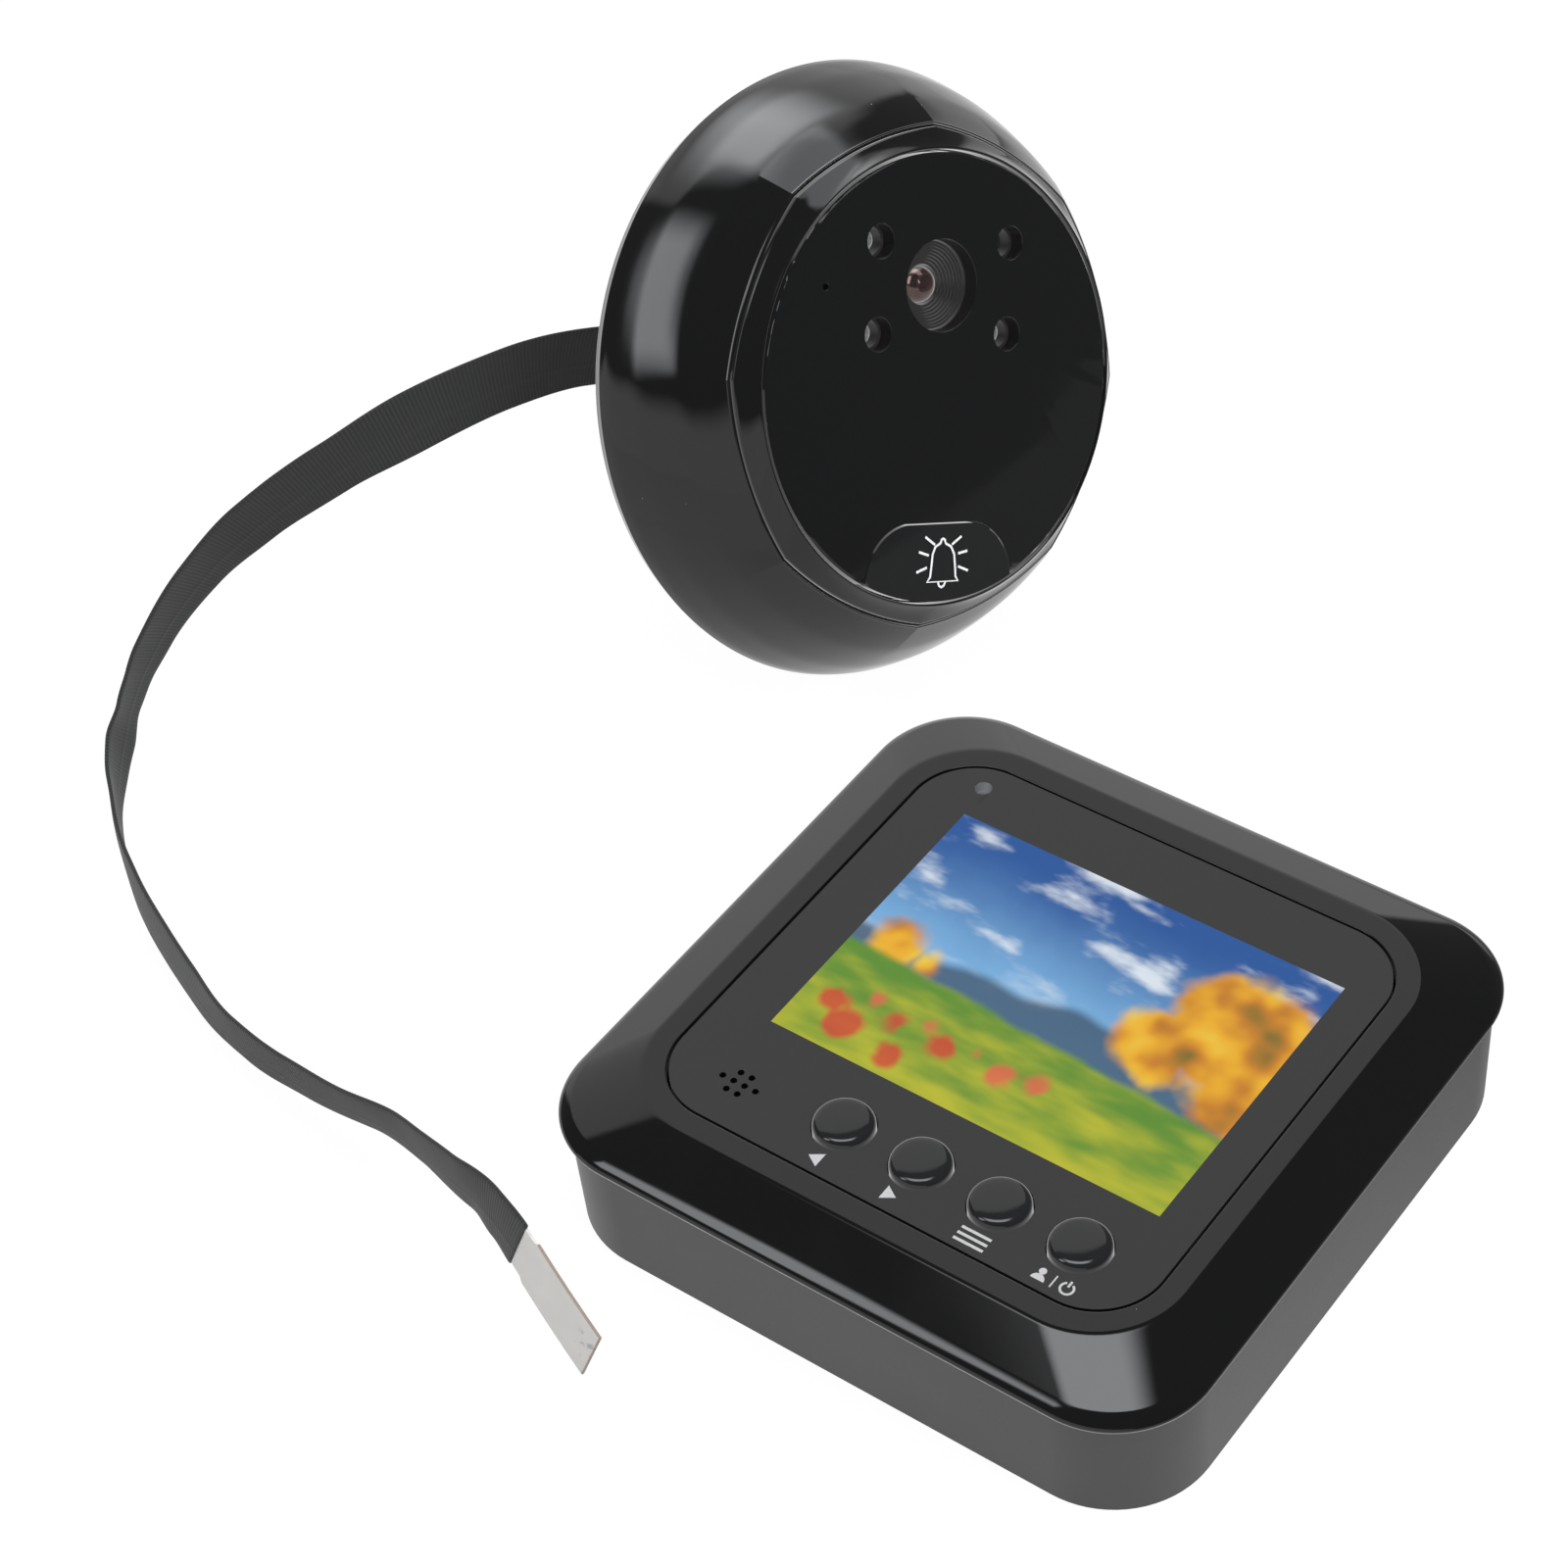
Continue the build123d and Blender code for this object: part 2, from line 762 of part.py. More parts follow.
def lens_barrel():
    top = glass_back - barrel_front_gap
    low = board_front + barrel_foot_gap
    barrel = disc(barrel_radius, low, top, lens_x, lens_y)
    shoulder = top - throat_depth
    throat = Cone(throat_radius, barrel_radius - barrel_wall, throat_depth)
    barrel -= Pos(lens_x, lens_y, top - 0.5 * throat_depth) * throat
    barrel -= disc(throat_radius, low, shoulder, lens_x, lens_y)
    return barrel - disc(rear_lens_radius + hole_gap, low, low + rear_lens_height, lens_x, lens_y)


def front_lens():
    top = glass_back - barrel_front_gap - throat_depth
    low = top - front_lens_height
    body = disc(front_lens_radius, low, top, lens_x, lens_y)
    arc = ThreePointArc((front_lens_radius, 0), (0.62 * front_lens_radius, 0.66 * front_lens_dome),
                        (0, front_lens_dome))
    sides = [arc, Line((0, front_lens_dome), (0, 0)), Line((0, 0), (front_lens_radius, 0))]
    return body + Pos(lens_x, lens_y, top) * revolve(Plane.XZ * make_face(Curve() + sides), Axis.Z)


def rear_lens():
    low = board_front + barrel_foot_gap
    return disc(rear_lens_radius, low, low + rear_lens_height, lens_x, lens_y)


def image_sensor():
    return block(sensor_size, sensor_size, board_front, board_front + sensor_height, lens_x, lens_y)


def lamp(place):
    x, y = place
    top = glass_back - lamp_gap
    dome_z = top - lamp_radius
    return disc(lamp_radius, board_front, dome_z, x, y) + Pos(x, y, dome_z) * Sphere(lamp_radius)


def light_sensor():
    x, y = light_sensor_place
    top = board_front + lamp_body_share * (camera_board_depth - glass_thickness)
    return disc(lamp_radius, board_front, top, x, y)


insert_places = [(0, -0.5 * insert_spacing), (0, 0.5 * insert_spacing)]


def rear_cover():
    lid = disc(cover_seat_radius - seam_gap, -unit_depth, seat_z)
    boss_top = insert_length - unit_depth + cover_disc_thickness
    lid += at_each(insert_places, lambda x, y: disc(insert_boss_radius, -unit_depth, boss_top, x, y))
    lid += at_each(stand_off_places, lambda x, y: disc(stand_off_radius, -unit_depth, board_back, x, y))
    lid -= at_each(stand_off_places, lambda x, y: disc(
        board_screw_radius + hole_gap, board_front - board_screw_length - hole_gap, board_back, x, y))
    lid -= at_each(insert_places, lambda x, y: disc(
        insert_outer_radius, -unit_depth, insert_length - unit_depth, x, y))
    places = rear_screw_places()
    lid -= at_each(places, lambda x, y: disc(screw_radius + hole_gap, -unit_depth, seat_z, x, y))
    lid -= at_each(places, lambda x, y: disc(
        screw_head_radius + hole_gap, -unit_depth, screw_head_height - unit_depth, x, y))
    return lid - slot_way * block(grommet_width, grommet_thickness, -unit_depth, seat_z)


def bolt_insert(x, y):
    top = insert_length - unit_depth
    return disc(insert_outer_radius, -unit_depth, top, x, y) - disc(insert_radius, -unit_depth, top, x, y)


def rear_screw(x, y):
    under_head = screw_head_height - unit_depth
    shank_top = under_head + rear_boss_length - hole_gap
    head = disc(screw_head_radius, -unit_depth, under_head, x, y)
    return head + disc(screw_radius, under_head, shank_top, x, y)


def foam_pad():
    low = -unit_depth - foam_thickness
    return disc(foam_outer_radius, low, -unit_depth) - disc(foam_inner_radius, low, -unit_depth)


grommet_back = -unit_depth - grommet_rim_height


def ribbon_grommet():
    neck = block(grommet_width, grommet_thickness, -unit_depth, seat_z)
    rim = block(grommet_width + 2 * grommet_rim, grommet_thickness + 2 * grommet_rim, grommet_back, -unit_depth)
    hole = block(ribbon_width, ribbon_thickness, grommet_back, seat_z)
    return slot_way * (neck + rim - hole)


def ribbon_lead():
    return slot_way * block(ribbon_width, ribbon_thickness, grommet_back, board_back - header_height)


def ribbon_header():
    width = ribbon_width + 2 * header_margin
    thickness = ribbon_thickness + 2 * header_margin
    return slot_way * block(width, thickness, board_back - header_height, board_back)


# The unit's own frame, tilted as it stands, and lifted until its rim rests on the surface

azimuth = radians(unit_azimuth)
lean = radians(unit_lean)
roll = radians(unit_roll)
facing = Vector(cos(lean) * cos(azimuth), cos(lean) * sin(azimuth), sin(lean))
upright = Vector(-sin(lean) * cos(azimuth), -sin(lean) * sin(azimuth), cos(lean))
unit_up = upright * cos(roll) + upright.cross(facing) * sin(roll)
unit_right = unit_up.cross(facing)
standing = Plane(origin=(unit_x, unit_y, 0), x_dir=unit_right, z_dir=facing)
lift = -(standing.location * housing_outside()).bounding_box().min.Z
standing = Plane(origin=(unit_x, unit_y, lift), x_dir=unit_right, z_dir=facing)

# The ribbon's route, and its width carried back along it without twist from the upright far end

exit_point = standing.from_local_coords(Vector(0, 0, grommet_back))
route = [exit_point, exit_point - facing * ribbon_exit_run] + [Vector(*point) for point in ribbon_route]
headings = [(end - start).normalized() for start, end in zip(route, route[1:])]


def carried(vector, old, new):
    axis = old.cross(new)
    turn = old.get_angle(new)
    return vector.rotate(Axis((0, 0, 0), axis), turn) if turn > 0 else vector


width_way = (Vector(0, 0, 1) - headings[-1] * headings[-1].Z).normalized()
end_width_way = width_way
for old, new in zip(headings[:0:-1], headings[-2::-1]):
    width_way = carried(width_way, old, new)
band_plane = Plane(origin=exit_point, x_dir=width_way, z_dir=headings[0])
local_width = standing.to_local_coords(exit_point + width_way) - standing.to_local_coords(exit_point)
slot_way = Plane(origin=(0, 0, 0), x_dir=Vector(local_width.X, local_width.Y, 0), z_dir=(0, 0, 1)).location

runs = [(end - start).length for start, end in zip(route, route[1:])]
turns = [old.get_angle(new) for old, new in zip(headings, headings[1:])]
bends = [corner_share * min(before, after) / tan(radians(0.5 * turn))
         for before, after, turn in zip(runs, runs[1:], turns)]
ribbon_path = FilletPolyline(*route, radius=bends)


def ribbon_cable():
    return sweep(band_plane * Rectangle(ribbon_width, ribbon_thickness), path=ribbon_path)


def ribbon_connector():
    # A stiff tail at the end of the ribbon, a little broader at its root
    end_plane = Plane(origin=route[-1], x_dir=end_width_way, z_dir=headings[-1])
    root = extrude(Rectangle(tail_root_width, tail_root_thickness), tail_root_length)
    tail = extrude(Rectangle(tail_width, tail_thickness), tail_length)
    return end_plane.location * (root + tail)


nodes = {
    "rear_case": rear_case(),
    "front_bezel": front_bezel(),
    "front_panel": front_panel(),
    "screen_window": screen_window(),
    "lcd_frame": lcd_frame(),
    "lcd_glass": lcd_glass(),
    "main_board": main_board(),
    "main_chip": main_chip(),
    "speaker": speaker(),
    "light_pipe": light_pipe(),
    "status_lamp": status_lamp(),
    "ribbon_socket": ribbon_socket(),
    "battery_tray": battery_tray(),
    "battery_springs": battery_springs(),
    "battery_plates": battery_plates(),
    "battery_cover": battery_cover(),
    "case_screws": together(at_each(boss_places, case_screw)),
}
for number, x in enumerate(button_places, 1):
    nodes[f"button_cap_{number}"] = button_cap(x)
    nodes[f"button_switch_{number}"] = tact_switch(x)
for number, x in enumerate(cell_places, 1):
    nodes[f"battery_cell_{number}"] = battery_cell(x)

unit_nodes = {
    "door_housing": door_housing(),
    "trim_ring": trim_ring(),
    "face_plate": face_plate(),
    "lens_window": lens_window(),
    "lamp_windows": lamp_windows(),
    "sensor_mask": sensor_mask(),
    "door_microphone": door_microphone(),
    "bell_button": bell_button(),
    "bell_switch": bell_switch(),
    "camera_board": camera_board(),
    "board_screws": together(at_each(stand_off_places, board_screw)),
    "lens_holder": lens_holder(),
    "lens_barrel": lens_barrel(),
    "front_lens": front_lens(),
    "rear_lens": rear_lens(),
    "image_sensor": image_sensor(),
    "light_sensor": light_sensor(),
    "rear_cover": rear_cover(),
    "bolt_inserts": together(at_each(insert_places, bolt_insert)),
    "rear_screws": together(at_each(rear_screw_places(), rear_screw)),
    "foam_pad": foam_pad(),
    "ribbon_grommet": ribbon_grommet(),
    "ribbon_lead": ribbon_lead(),
    "ribbon_header": ribbon_header(),
}
for number, place in enumerate(ir_places, 1):
    unit_nodes[f"ir_lamp_{number}"] = lamp(place)
for name, shape in unit_nodes.items():
    nodes[name] = standing.location * shape
nodes["ribbon_cable"] = ribbon_cable()
nodes["ribbon_connector"] = ribbon_connector()

os.makedirs("parts", exist_ok=True)
for name, shape in nodes.items():
    export_step(shape, f"parts/{name}.step")

print("ribbon exit", exit_point, "facing", facing, "up", unit_up, "right", unit_right, "lift", lift)
for x, y in insert_places:
    print("insert mouth", standing.from_local_coords(Vector(x, y, -unit_depth)))
print("foam back", standing.from_local_coords(Vector(0, 0, -unit_depth - foam_thickness)))
print("ribbon radii", [round(bend, 1) for bend in bends])
print("ribbon length", ribbon_path.length, "volume", nodes["ribbon_cable"].volume,
      "section times length", ribbon_width * ribbon_thickness * ribbon_path.length)
print("ends at", route[-1] + headings[-1] * tail_length)
print(len(nodes), "nodes")
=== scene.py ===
import json
import math
from functools import partialmethod
import bpy
from mathutils import Matrix, Vector

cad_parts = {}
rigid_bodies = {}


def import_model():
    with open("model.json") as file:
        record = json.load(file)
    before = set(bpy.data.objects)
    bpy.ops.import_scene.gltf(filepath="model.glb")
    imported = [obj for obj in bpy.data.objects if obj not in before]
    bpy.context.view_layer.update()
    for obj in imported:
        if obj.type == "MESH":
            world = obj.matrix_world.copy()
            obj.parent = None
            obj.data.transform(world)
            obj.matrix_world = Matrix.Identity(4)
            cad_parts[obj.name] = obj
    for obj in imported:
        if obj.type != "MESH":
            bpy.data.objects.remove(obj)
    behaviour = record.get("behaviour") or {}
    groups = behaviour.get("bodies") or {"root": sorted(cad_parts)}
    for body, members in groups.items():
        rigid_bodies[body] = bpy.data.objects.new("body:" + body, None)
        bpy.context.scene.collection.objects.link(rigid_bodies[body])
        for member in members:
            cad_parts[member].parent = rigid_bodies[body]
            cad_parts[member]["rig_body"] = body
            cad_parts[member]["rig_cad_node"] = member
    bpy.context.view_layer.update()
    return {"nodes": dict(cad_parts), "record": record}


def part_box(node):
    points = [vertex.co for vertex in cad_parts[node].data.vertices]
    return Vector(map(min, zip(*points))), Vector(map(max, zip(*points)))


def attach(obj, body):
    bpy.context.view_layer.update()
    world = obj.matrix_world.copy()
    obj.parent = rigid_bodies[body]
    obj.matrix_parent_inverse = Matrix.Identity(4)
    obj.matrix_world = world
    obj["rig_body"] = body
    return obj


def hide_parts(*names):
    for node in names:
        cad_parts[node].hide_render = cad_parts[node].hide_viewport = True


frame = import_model()
nodes = frame["nodes"]
mm = 0.001  # the shapes' own sizes are in mm, apart from the ribbon's, which are in metres
weld = 0.000002  # corners nearer than this are merged

# the outdoor unit's own axes: right, up, facing, and the middle of its glass
unitRight = Vector((0.312303, 0.842383, -0.439156))
unitUp = Vector((-0.278458, 0.523146, 0.805468))
unitFacing = Vector((0.908255, -0.129264, 0.397949))
unitMiddle = Vector((-0.0532, 0.062, 0.04086268))
unitPlace = Matrix.Translation(unitMiddle) @ Matrix((unitRight, unitUp, unitFacing)).transposed().to_4x4()


def pickOnly(*objs):
    # CAD nodes come in selected, so everything is let go first
    bpy.ops.object.select_all(action="DESELECT")
    for obj in objs:
        obj.select_set(True)
    bpy.context.view_layer.objects.active = objs[0]


def edit(obj, selected="SELECT"):
    pickOnly(obj)
    bpy.ops.object.mode_set(mode="EDIT")
    bpy.ops.mesh.select_mode(type="VERT")
    bpy.ops.mesh.select_all(action=selected)


def endEdit():
    bpy.ops.object.mode_set(mode="OBJECT")
    return bpy.context.active_object


def tidyMesh(obj):
    edit(obj)
    bpy.ops.mesh.remove_doubles(threshold=weld)
    bpy.ops.mesh.normals_make_consistent(inside=False)
    return endEdit()


def modify(obj, kind, **settings):
    # one modifier, set and applied
    pickOnly(obj)
    bpy.ops.object.modifier_add(type=kind)
    modifier = obj.modifiers[-1]
    for key, value in settings.items():
        setattr(modifier, key, value)
    bpy.ops.object.modifier_apply(modifier=modifier.name)


def smoothOver(obj, degrees, weighted=True):
    pickOnly(obj)
    bpy.ops.object.shade_smooth_by_angle(angle=math.radians(degrees))
    if weighted:
        modify(obj, "WEIGHTED_NORMAL", keep_sharp=True)
    return obj


def joinAll(objs):
    pickOnly(*objs)
    bpy.ops.object.join()
    return bpy.context.active_object


def settle(obj, name, material, stands=(), place=None, body="camera_set"):
    # puts the piece where it belongs, leaves its object at the origin and ties it to its body
    if place is not None:
        obj.matrix_world = place @ obj.matrix_world
    pickOnly(obj)
    bpy.ops.object.transform_apply(location=True, rotation=True, scale=True)
    obj.name = name
    obj.data.name = name
    obj.data.materials.clear()
    obj.data.materials.append(material)
    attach(obj, body)
    if stands:
        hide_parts(*stands)
    return obj


def drawnRun(points, closed, flat=False):
    # a run of edges drawn point by point, in mm: upright on XZ, to be spun, or flat on XY
    bpy.ops.mesh.primitive_plane_add(size=mm)
    bpy.ops.object.mode_set(mode="EDIT")
    bpy.ops.mesh.merge(type="CENTER")
    last = (0, 0)
    for number, point in enumerate([*points, points[0]] if closed else points):
        right, up = (point[0] - last[0]) * mm, (point[1] - last[1]) * mm
        step = (right, up, 0) if flat else (right, 0, up)
        if number == 0:
            bpy.ops.transform.translate(value=step)
        else:
            bpy.ops.mesh.extrude_vertices_move(TRANSFORM_OT_translate={"value": step})
        last = point
    bpy.ops.mesh.select_all(action="SELECT")
    return bpy.context.active_object


def spun(points, steps, closed=True):
    # the outline turned once about Z
    obj = drawnRun(points, closed)
    bpy.ops.mesh.spin(steps=steps, angle=2 * math.pi, center=(0, 0, 0), axis=(0, 0, 1))
    endEdit()
    return tidyMesh(obj)


def throughPoints(points, count):
    # a smooth run through the points, count steps to each gap
    out = []
    padded = [points[0], *points, points[-1]]
    for a, b, c, d in zip(padded, padded[1:], padded[2:], padded[3:]):
        for k in range(count):
            t = k / count
            out.append(tuple(
                0.5 * (2 * q + (r - p) * t + (2 * p - 5 * q + 4 * r - s) * t * t + (3 * q - p - 3 * r + s) * t ** 3)
                for p, q, r, s in zip(a, b, c, d)))
    return out + [points[-1]]


# Camera, at the photographed angle

cameraView = {
    "place": (0.15759, -0.22173, 0.32591),
    "turn": (45.1527, 4.1806, 36.2382),
    "lens": 88.23,
    "sensor": 36,
    "clip": (0.02, 30),
}


def addCamera():
    bpy.ops.object.camera_add(location=cameraView["place"],
                              rotation=[math.radians(a) for a in cameraView["turn"]])
    camera = bpy.context.active_object
    camera.data.lens = cameraView["lens"]
    camera.data.sensor_width = cameraView["sensor"]
    camera.data.clip_start, camera.data.clip_end = cameraView["clip"]
    bpy.context.scene.camera = camera


addCamera()
print("camera placed")


# Shader sums, written as plain expressions

class Wire:
    def __init__(self, tree, socket=None):
        self.tree = tree
        self.socket = socket

    def make(self, kind, values=None, out=0, stops=(), **settings):
        # any node: its settings first, then the stops of its ramp and the values or wires of its sockets
        node = self.tree.nodes.new("ShaderNode" + kind)
        for key, value in settings.items():
            setattr(node, key, value)
        for number, (position, color) in enumerate(stops):
            stop = node.color_ramp.elements[number] if number < 2 else node.color_ramp.elements.new(position)
            stop.position = position
            stop.color = (*color, 1)
        for key, value in (values or {}).items():
            if isinstance(value, Wire):
                self.tree.links.new(value.socket, node.inputs[key])
            else:
                node.inputs[key].default_value = value
        return Wire(self.tree, node.outputs[out])

    def math(self, operation, *others):
        return self.make("Math", dict(enumerate((self, *others))), operation=operation)

    __add__ = __radd__ = partialmethod(math, "ADD")
    __sub__ = partialmethod(math, "SUBTRACT")
    __mul__ = __rmul__ = partialmethod(math, "MULTIPLY")
    __truediv__ = partialmethod(math, "DIVIDE")
    __gt__ = partialmethod(math, "GREATER_THAN")
    __lt__ = partialmethod(math, "LESS_THAN")
    __abs__ = partialmethod(math, "ABSOLUTE")

    def __rsub__(self, other):
        return self * -1 + other

    def ease(self, low, high):
        # 0 below low, 1 above high, soft between them
        return self.make("MapRange", {"Value": self, "From Min": low, "From Max": high},
                         interpolation_type="SMOOTHSTEP")

    def axis(self, index):
        return self.make("SeparateXYZ", {0: self}, out=index)

    def noise(self, scale, detail, stretch=None):
        spot = self if stretch is None else self.make("Mapping", {"Vector": self, "Scale": stretch})
        return self.make("TexNoise", {"Vector": spot, "Scale": scale, "Detail": detail})

    def blend(self, below, above):
        # this wire as the share of the second colour
        return self.make("Mix", {0: self, 6: below, 7: above}, 2, data_type="RGBA")


def objectSpot(start, place=None):
    # object coordinates, or the same in a piece's own axes
    spot = start.make("TexCoord", out=3)
    if place is None:
        return spot
    back = place.inverted()
    return spot.make("Mapping", {
        "Vector": spot, "Location": back.to_translation(), "Rotation": back.to_euler("XYZ")})


def paint(name, place=None, **constants):
    # a new material and its object coordinates; what is the same all over is set on the shader itself
    material = bpy.data.materials.new(name)
    material.use_nodes = True
    shader = material.node_tree.nodes["Principled BSDF"]
    for key, value in constants.items():
        shader.inputs[key.replace("_", " ")].default_value = value
    return material, objectSpot(Wire(material.node_tree), place)


def feed(material, **wires):
    shader = material.node_tree.nodes["Principled BSDF"]
    for key, wire in wires.items():
        wire.tree.links.new(wire.socket, shader.inputs[key.replace("_", " ")])


def grey(value, cool=0.0):
    return (value * (1 - cool), value, value * (1 + cool), 1)


def bumped(height, distance, strength):
    return height.make("Bump", {"Height": height, "Distance": distance, "Strength": strength})


def dust(spot, spacing, size, share):
    # a few tiny specks, sizes in mm, one in some of the cells
    values = {"Vector": spot, "Scale": 1 / (spacing * mm)}
    near = spot.make("TexVoronoi", values)
    lot = spot.make("TexVoronoi", values, out=1).axis(0)
    return (near < size / spacing) * (lot > share)


gapEdge = {"soft": (0.00001, 0.00005), "corner": 1.88}


def gapShade(spot, top, reach):
    # one on the walls of holes and pockets: below the flat top and within reach of the middle, less at the corners;
    # glossBlack paints shade there, and a window's edge is left clear there
    right, ahead = abs(spot.axis(0)), abs(spot.axis(1))
    beside = (right.math("MAXIMUM", ahead) < reach) * (right + ahead < reach * gapEdge["corner"])
    return (spot.axis(2) * -1 + top).ease(*gapEdge["soft"]) * beside


# polished black; a piece's own dictionary holds only what differs from this
glossLook = {
    "level": 0.5, "tone": (0.004, 0.04), "rough": 0.05,
    "smudge": 0.05, "smudgeScale": 60, "smudgeRange": (0.42, 0.72),
    "specks": (3.0, 0.05, 0.72), "speckTone": 0.34, "speckRough": 0.4,
    "ripple": 420, "rippleDepth": 0.00012, "rippleStrength": 0.012,
    # for gapShade, where painted shade falls: the piece's own axes, its flat top and how far its holes reach, in
    # metres; and the painted shade's own colour
    "gap": None, "paintedShadeTone": None,
}


def glossBlack(name, **own):
    look = {**glossLook, **own}
    material, spot = paint(name, IOR=1.5, Specular_IOR_Level=look["level"])
    speck = dust(spot, *look["specks"])
    color = speck.blend(grey(*look["tone"]), grey(look["speckTone"]))
    smudges = spot.noise(look["smudgeScale"], 3).ease(*look["smudgeRange"])
    roughness = smudges * look["smudge"] + look["rough"] + speck * look["speckRough"]
    # painted shade: the walls of holes and pockets turn to black, rough metal, with a near-black colour where a tone
    # is given
    if look["gap"]:
        place, top, reach = look["gap"]
        wall = gapShade(objectSpot(spot, place), top, reach)
        roughness = roughness + wall
        feed(material, Metallic=wall)
        if look["paintedShadeTone"]:
            color = wall.blend(color, grey(look["paintedShadeTone"]))
    feed(material, Base_Color=color, Roughness=roughness,
         Normal=bumped(spot.noise(look["ripple"], 1), look["rippleDepth"], look["rippleStrength"]))
    return material


# how far plain stock varies: in tone up and down, and in sheen
plainLook = {"vary": 0.12, "sheen": 0.16, "grainStrength": 0.4}


def plainFinish(name, color, rough, metallic=0.0, grainScale=900, grainDepth=0.00002):
    # moulded, plated or painted stock with a little variation in tone and sheen
    material, spot = paint(name, Metallic=metallic)
    grain = spot.noise(grainScale, 3)
    dark = tuple(c * (1 - plainLook["vary"]) for c in color)
    light = tuple(min(1, c * (1 + plainLook["vary"])) for c in color)
    feed(material, Base_Color=grain.blend((*dark, 1), (*light, 1)),
         Roughness=spot.noise(grainScale * 0.3, 2) * plainLook["sheen"] + (rough - plainLook["sheen"] / 2),
         Normal=bumped(grain, grainDepth, plainLook["grainStrength"]))
    return material


# Ribbon cable: its line, the leaning of the band on it, and the film at its end

ribbonShape = {
    "route": [
        (-0.0722734, 0.0647145, 0.0325058), (-0.0768147, 0.0653608, 0.0305161), (-0.0817, 0.0648, 0.0292),
        (-0.0869, 0.0605, 0.0312), (-0.0914, 0.0519, 0.0362), (-0.0951, 0.0404, 0.0410),
        (-0.0999, 0.0274, 0.0419), (-0.1071, 0.0151, 0.0383), (-0.1149, 0.0048, 0.0321),
        (-0.1201, -0.0041, 0.0239), (-0.1217, -0.0124, 0.0152), (-0.1177, -0.0217, 0.0079),
        (-0.1081, -0.0291, 0.0047), (-0.0955, -0.0350, 0.0042), (-0.0823, -0.0402, 0.0042),
        (-0.0679, -0.0414, 0.0051), (-0.0553, -0.0419, 0.0077), (-0.0461, -0.0447, 0.0097),
        (-0.0374, -0.0467, 0.0113), (-0.0326, -0.0485, 0.0096),
    ],
    "leans": [(0, -47), (0.05, -36), (0.1, -16), (0.156, 0), (0.218, 10), (0.278, 16), (0.33, 1), (0.385, -7),
              (0.428, -17), (0.465, -19), (0.494, -16), (0.515, -11), (0.537, 2), (0.552, 2), (0.574, -2),
              (0.602, 0), (0.632, -3), (0.67, -3), (0.715, -2), (0.763, 6), (0.809, 11), (0.86, 16), (0.901, 9),
              (0.948, 3), (0.978, -8), (1, -12)],
    "width": 0.008,
    "thickness": 0.00048,
    "bow": 0.00022,  # how far the tape swells between its edges
    "edge": 0.00028,
}
clothLook = {
    "rib": 0.00042, "threads": 26,
    "core": 0.36, "coreSoft": 0.07,  # the core line's place across the tape, and its half width
    "fuzz": 2600,
    "relief": {"rib": 0.8, "thread": 0.18, "core": 0.9, "fuzz": 0.35}, "depth": 0.00004, "strength": 0.8,
    "shade": {"rib": 0.5, "fuzz": 0.4, "core": 0.08}, "dark": (0.018, 0.03), "light": (0.055, 0.0),
    "rough": 0.66, "roughVary": 0.2,
}
tailShape = {  # in mm
    "length": 14.5, "width": 8.0, "neck": 7.1, "neckLength": 1.7, "neckBlend": 0.7, "thickness": 0.32,
    "spring": 0.12, "edge": 0.06,
}
tailLook = {
    "film": ((0.76, 0.735, 0.7, 1), (0.9, 0.875, 0.835, 1)),
    # the brown cut edges: shares of the half width and of the length
    "cutSide": (0.955, 0.985), "cutTip": (0.985, 0.995), "cut": (0.27, 0.17, 0.11, 1), "cutShare": 0.8,
    "scuffAlong": (0.78, 0.86), "scuffAcross": (0.3, 0.6), "scuff": (0.22, 0.24, 0.26, 1), "scuffShare": 0.6,
}


def ribbonLine():
    # the smooth line that the route's points pull on, read back from a curve with no bevel
    route = ribbonShape["route"]
    curve = bpy.data.curves.new("ribbonLine", "CURVE")
    curve.dimensions = "3D"
    curve.resolution_u = 22
    spline = curve.splines.new("NURBS")
    spline.points.add(len(route) - 1)
    for point, spot in zip(spline.points, route):
        point.co = (*spot, 1)
    spline.order_u = 3
    spline.use_endpoint_u = True
    holder = bpy.data.objects.new("ribbonLine", curve)
    bpy.context.scene.collection.objects.link(holder)
    mesh = bpy.data.meshes.new_from_object(holder)
    line = [vert.co.copy() for vert in mesh.vertices]
    bpy.data.objects.remove(holder)
    return line


def leanAt(share):
    for (a, low), (b, high) in zip(ribbonShape["leans"], ribbonShape["leans"][1:]):
        if share <= b:
            t = (share - a) / (b - a)
            return math.radians(low + (high - low) * t * t * (3 - 2 * t))
    return math.radians(ribbonShape["leans"][-1][1])


def bandFrames(line):
    # for every point of the line: the place, the way along, the way across the band and its face
    lengths = [0.0]
    for a, b in zip(line, line[1:]):
        lengths.append(lengths[-1] + (b - a).length)
    frames = []
    for number, spot in enumerate(line):
        ahead = (line[min(number + 1, len(line) - 1)] - line[max(number - 1, 0)]).normalized()
        upright = (Vector((0, 0, 1)) - ahead * ahead.z).normalized()
        lean = leanAt(lengths[number] / lengths[-1])
        across = upright * math.cos(lean) + ahead.cross(upright) * math.sin(lean)
        frames.append((spot, ahead, across, ahead.cross(across)))
    return frames, lengths[-1]


ribbonPoints = ribbonLine()
ribbonFrames, ribbonLength = bandFrames(ribbonPoints)
print("ribbon line", len(ribbonPoints), "points,", round(ribbonLength * 1000, 1), "mm")


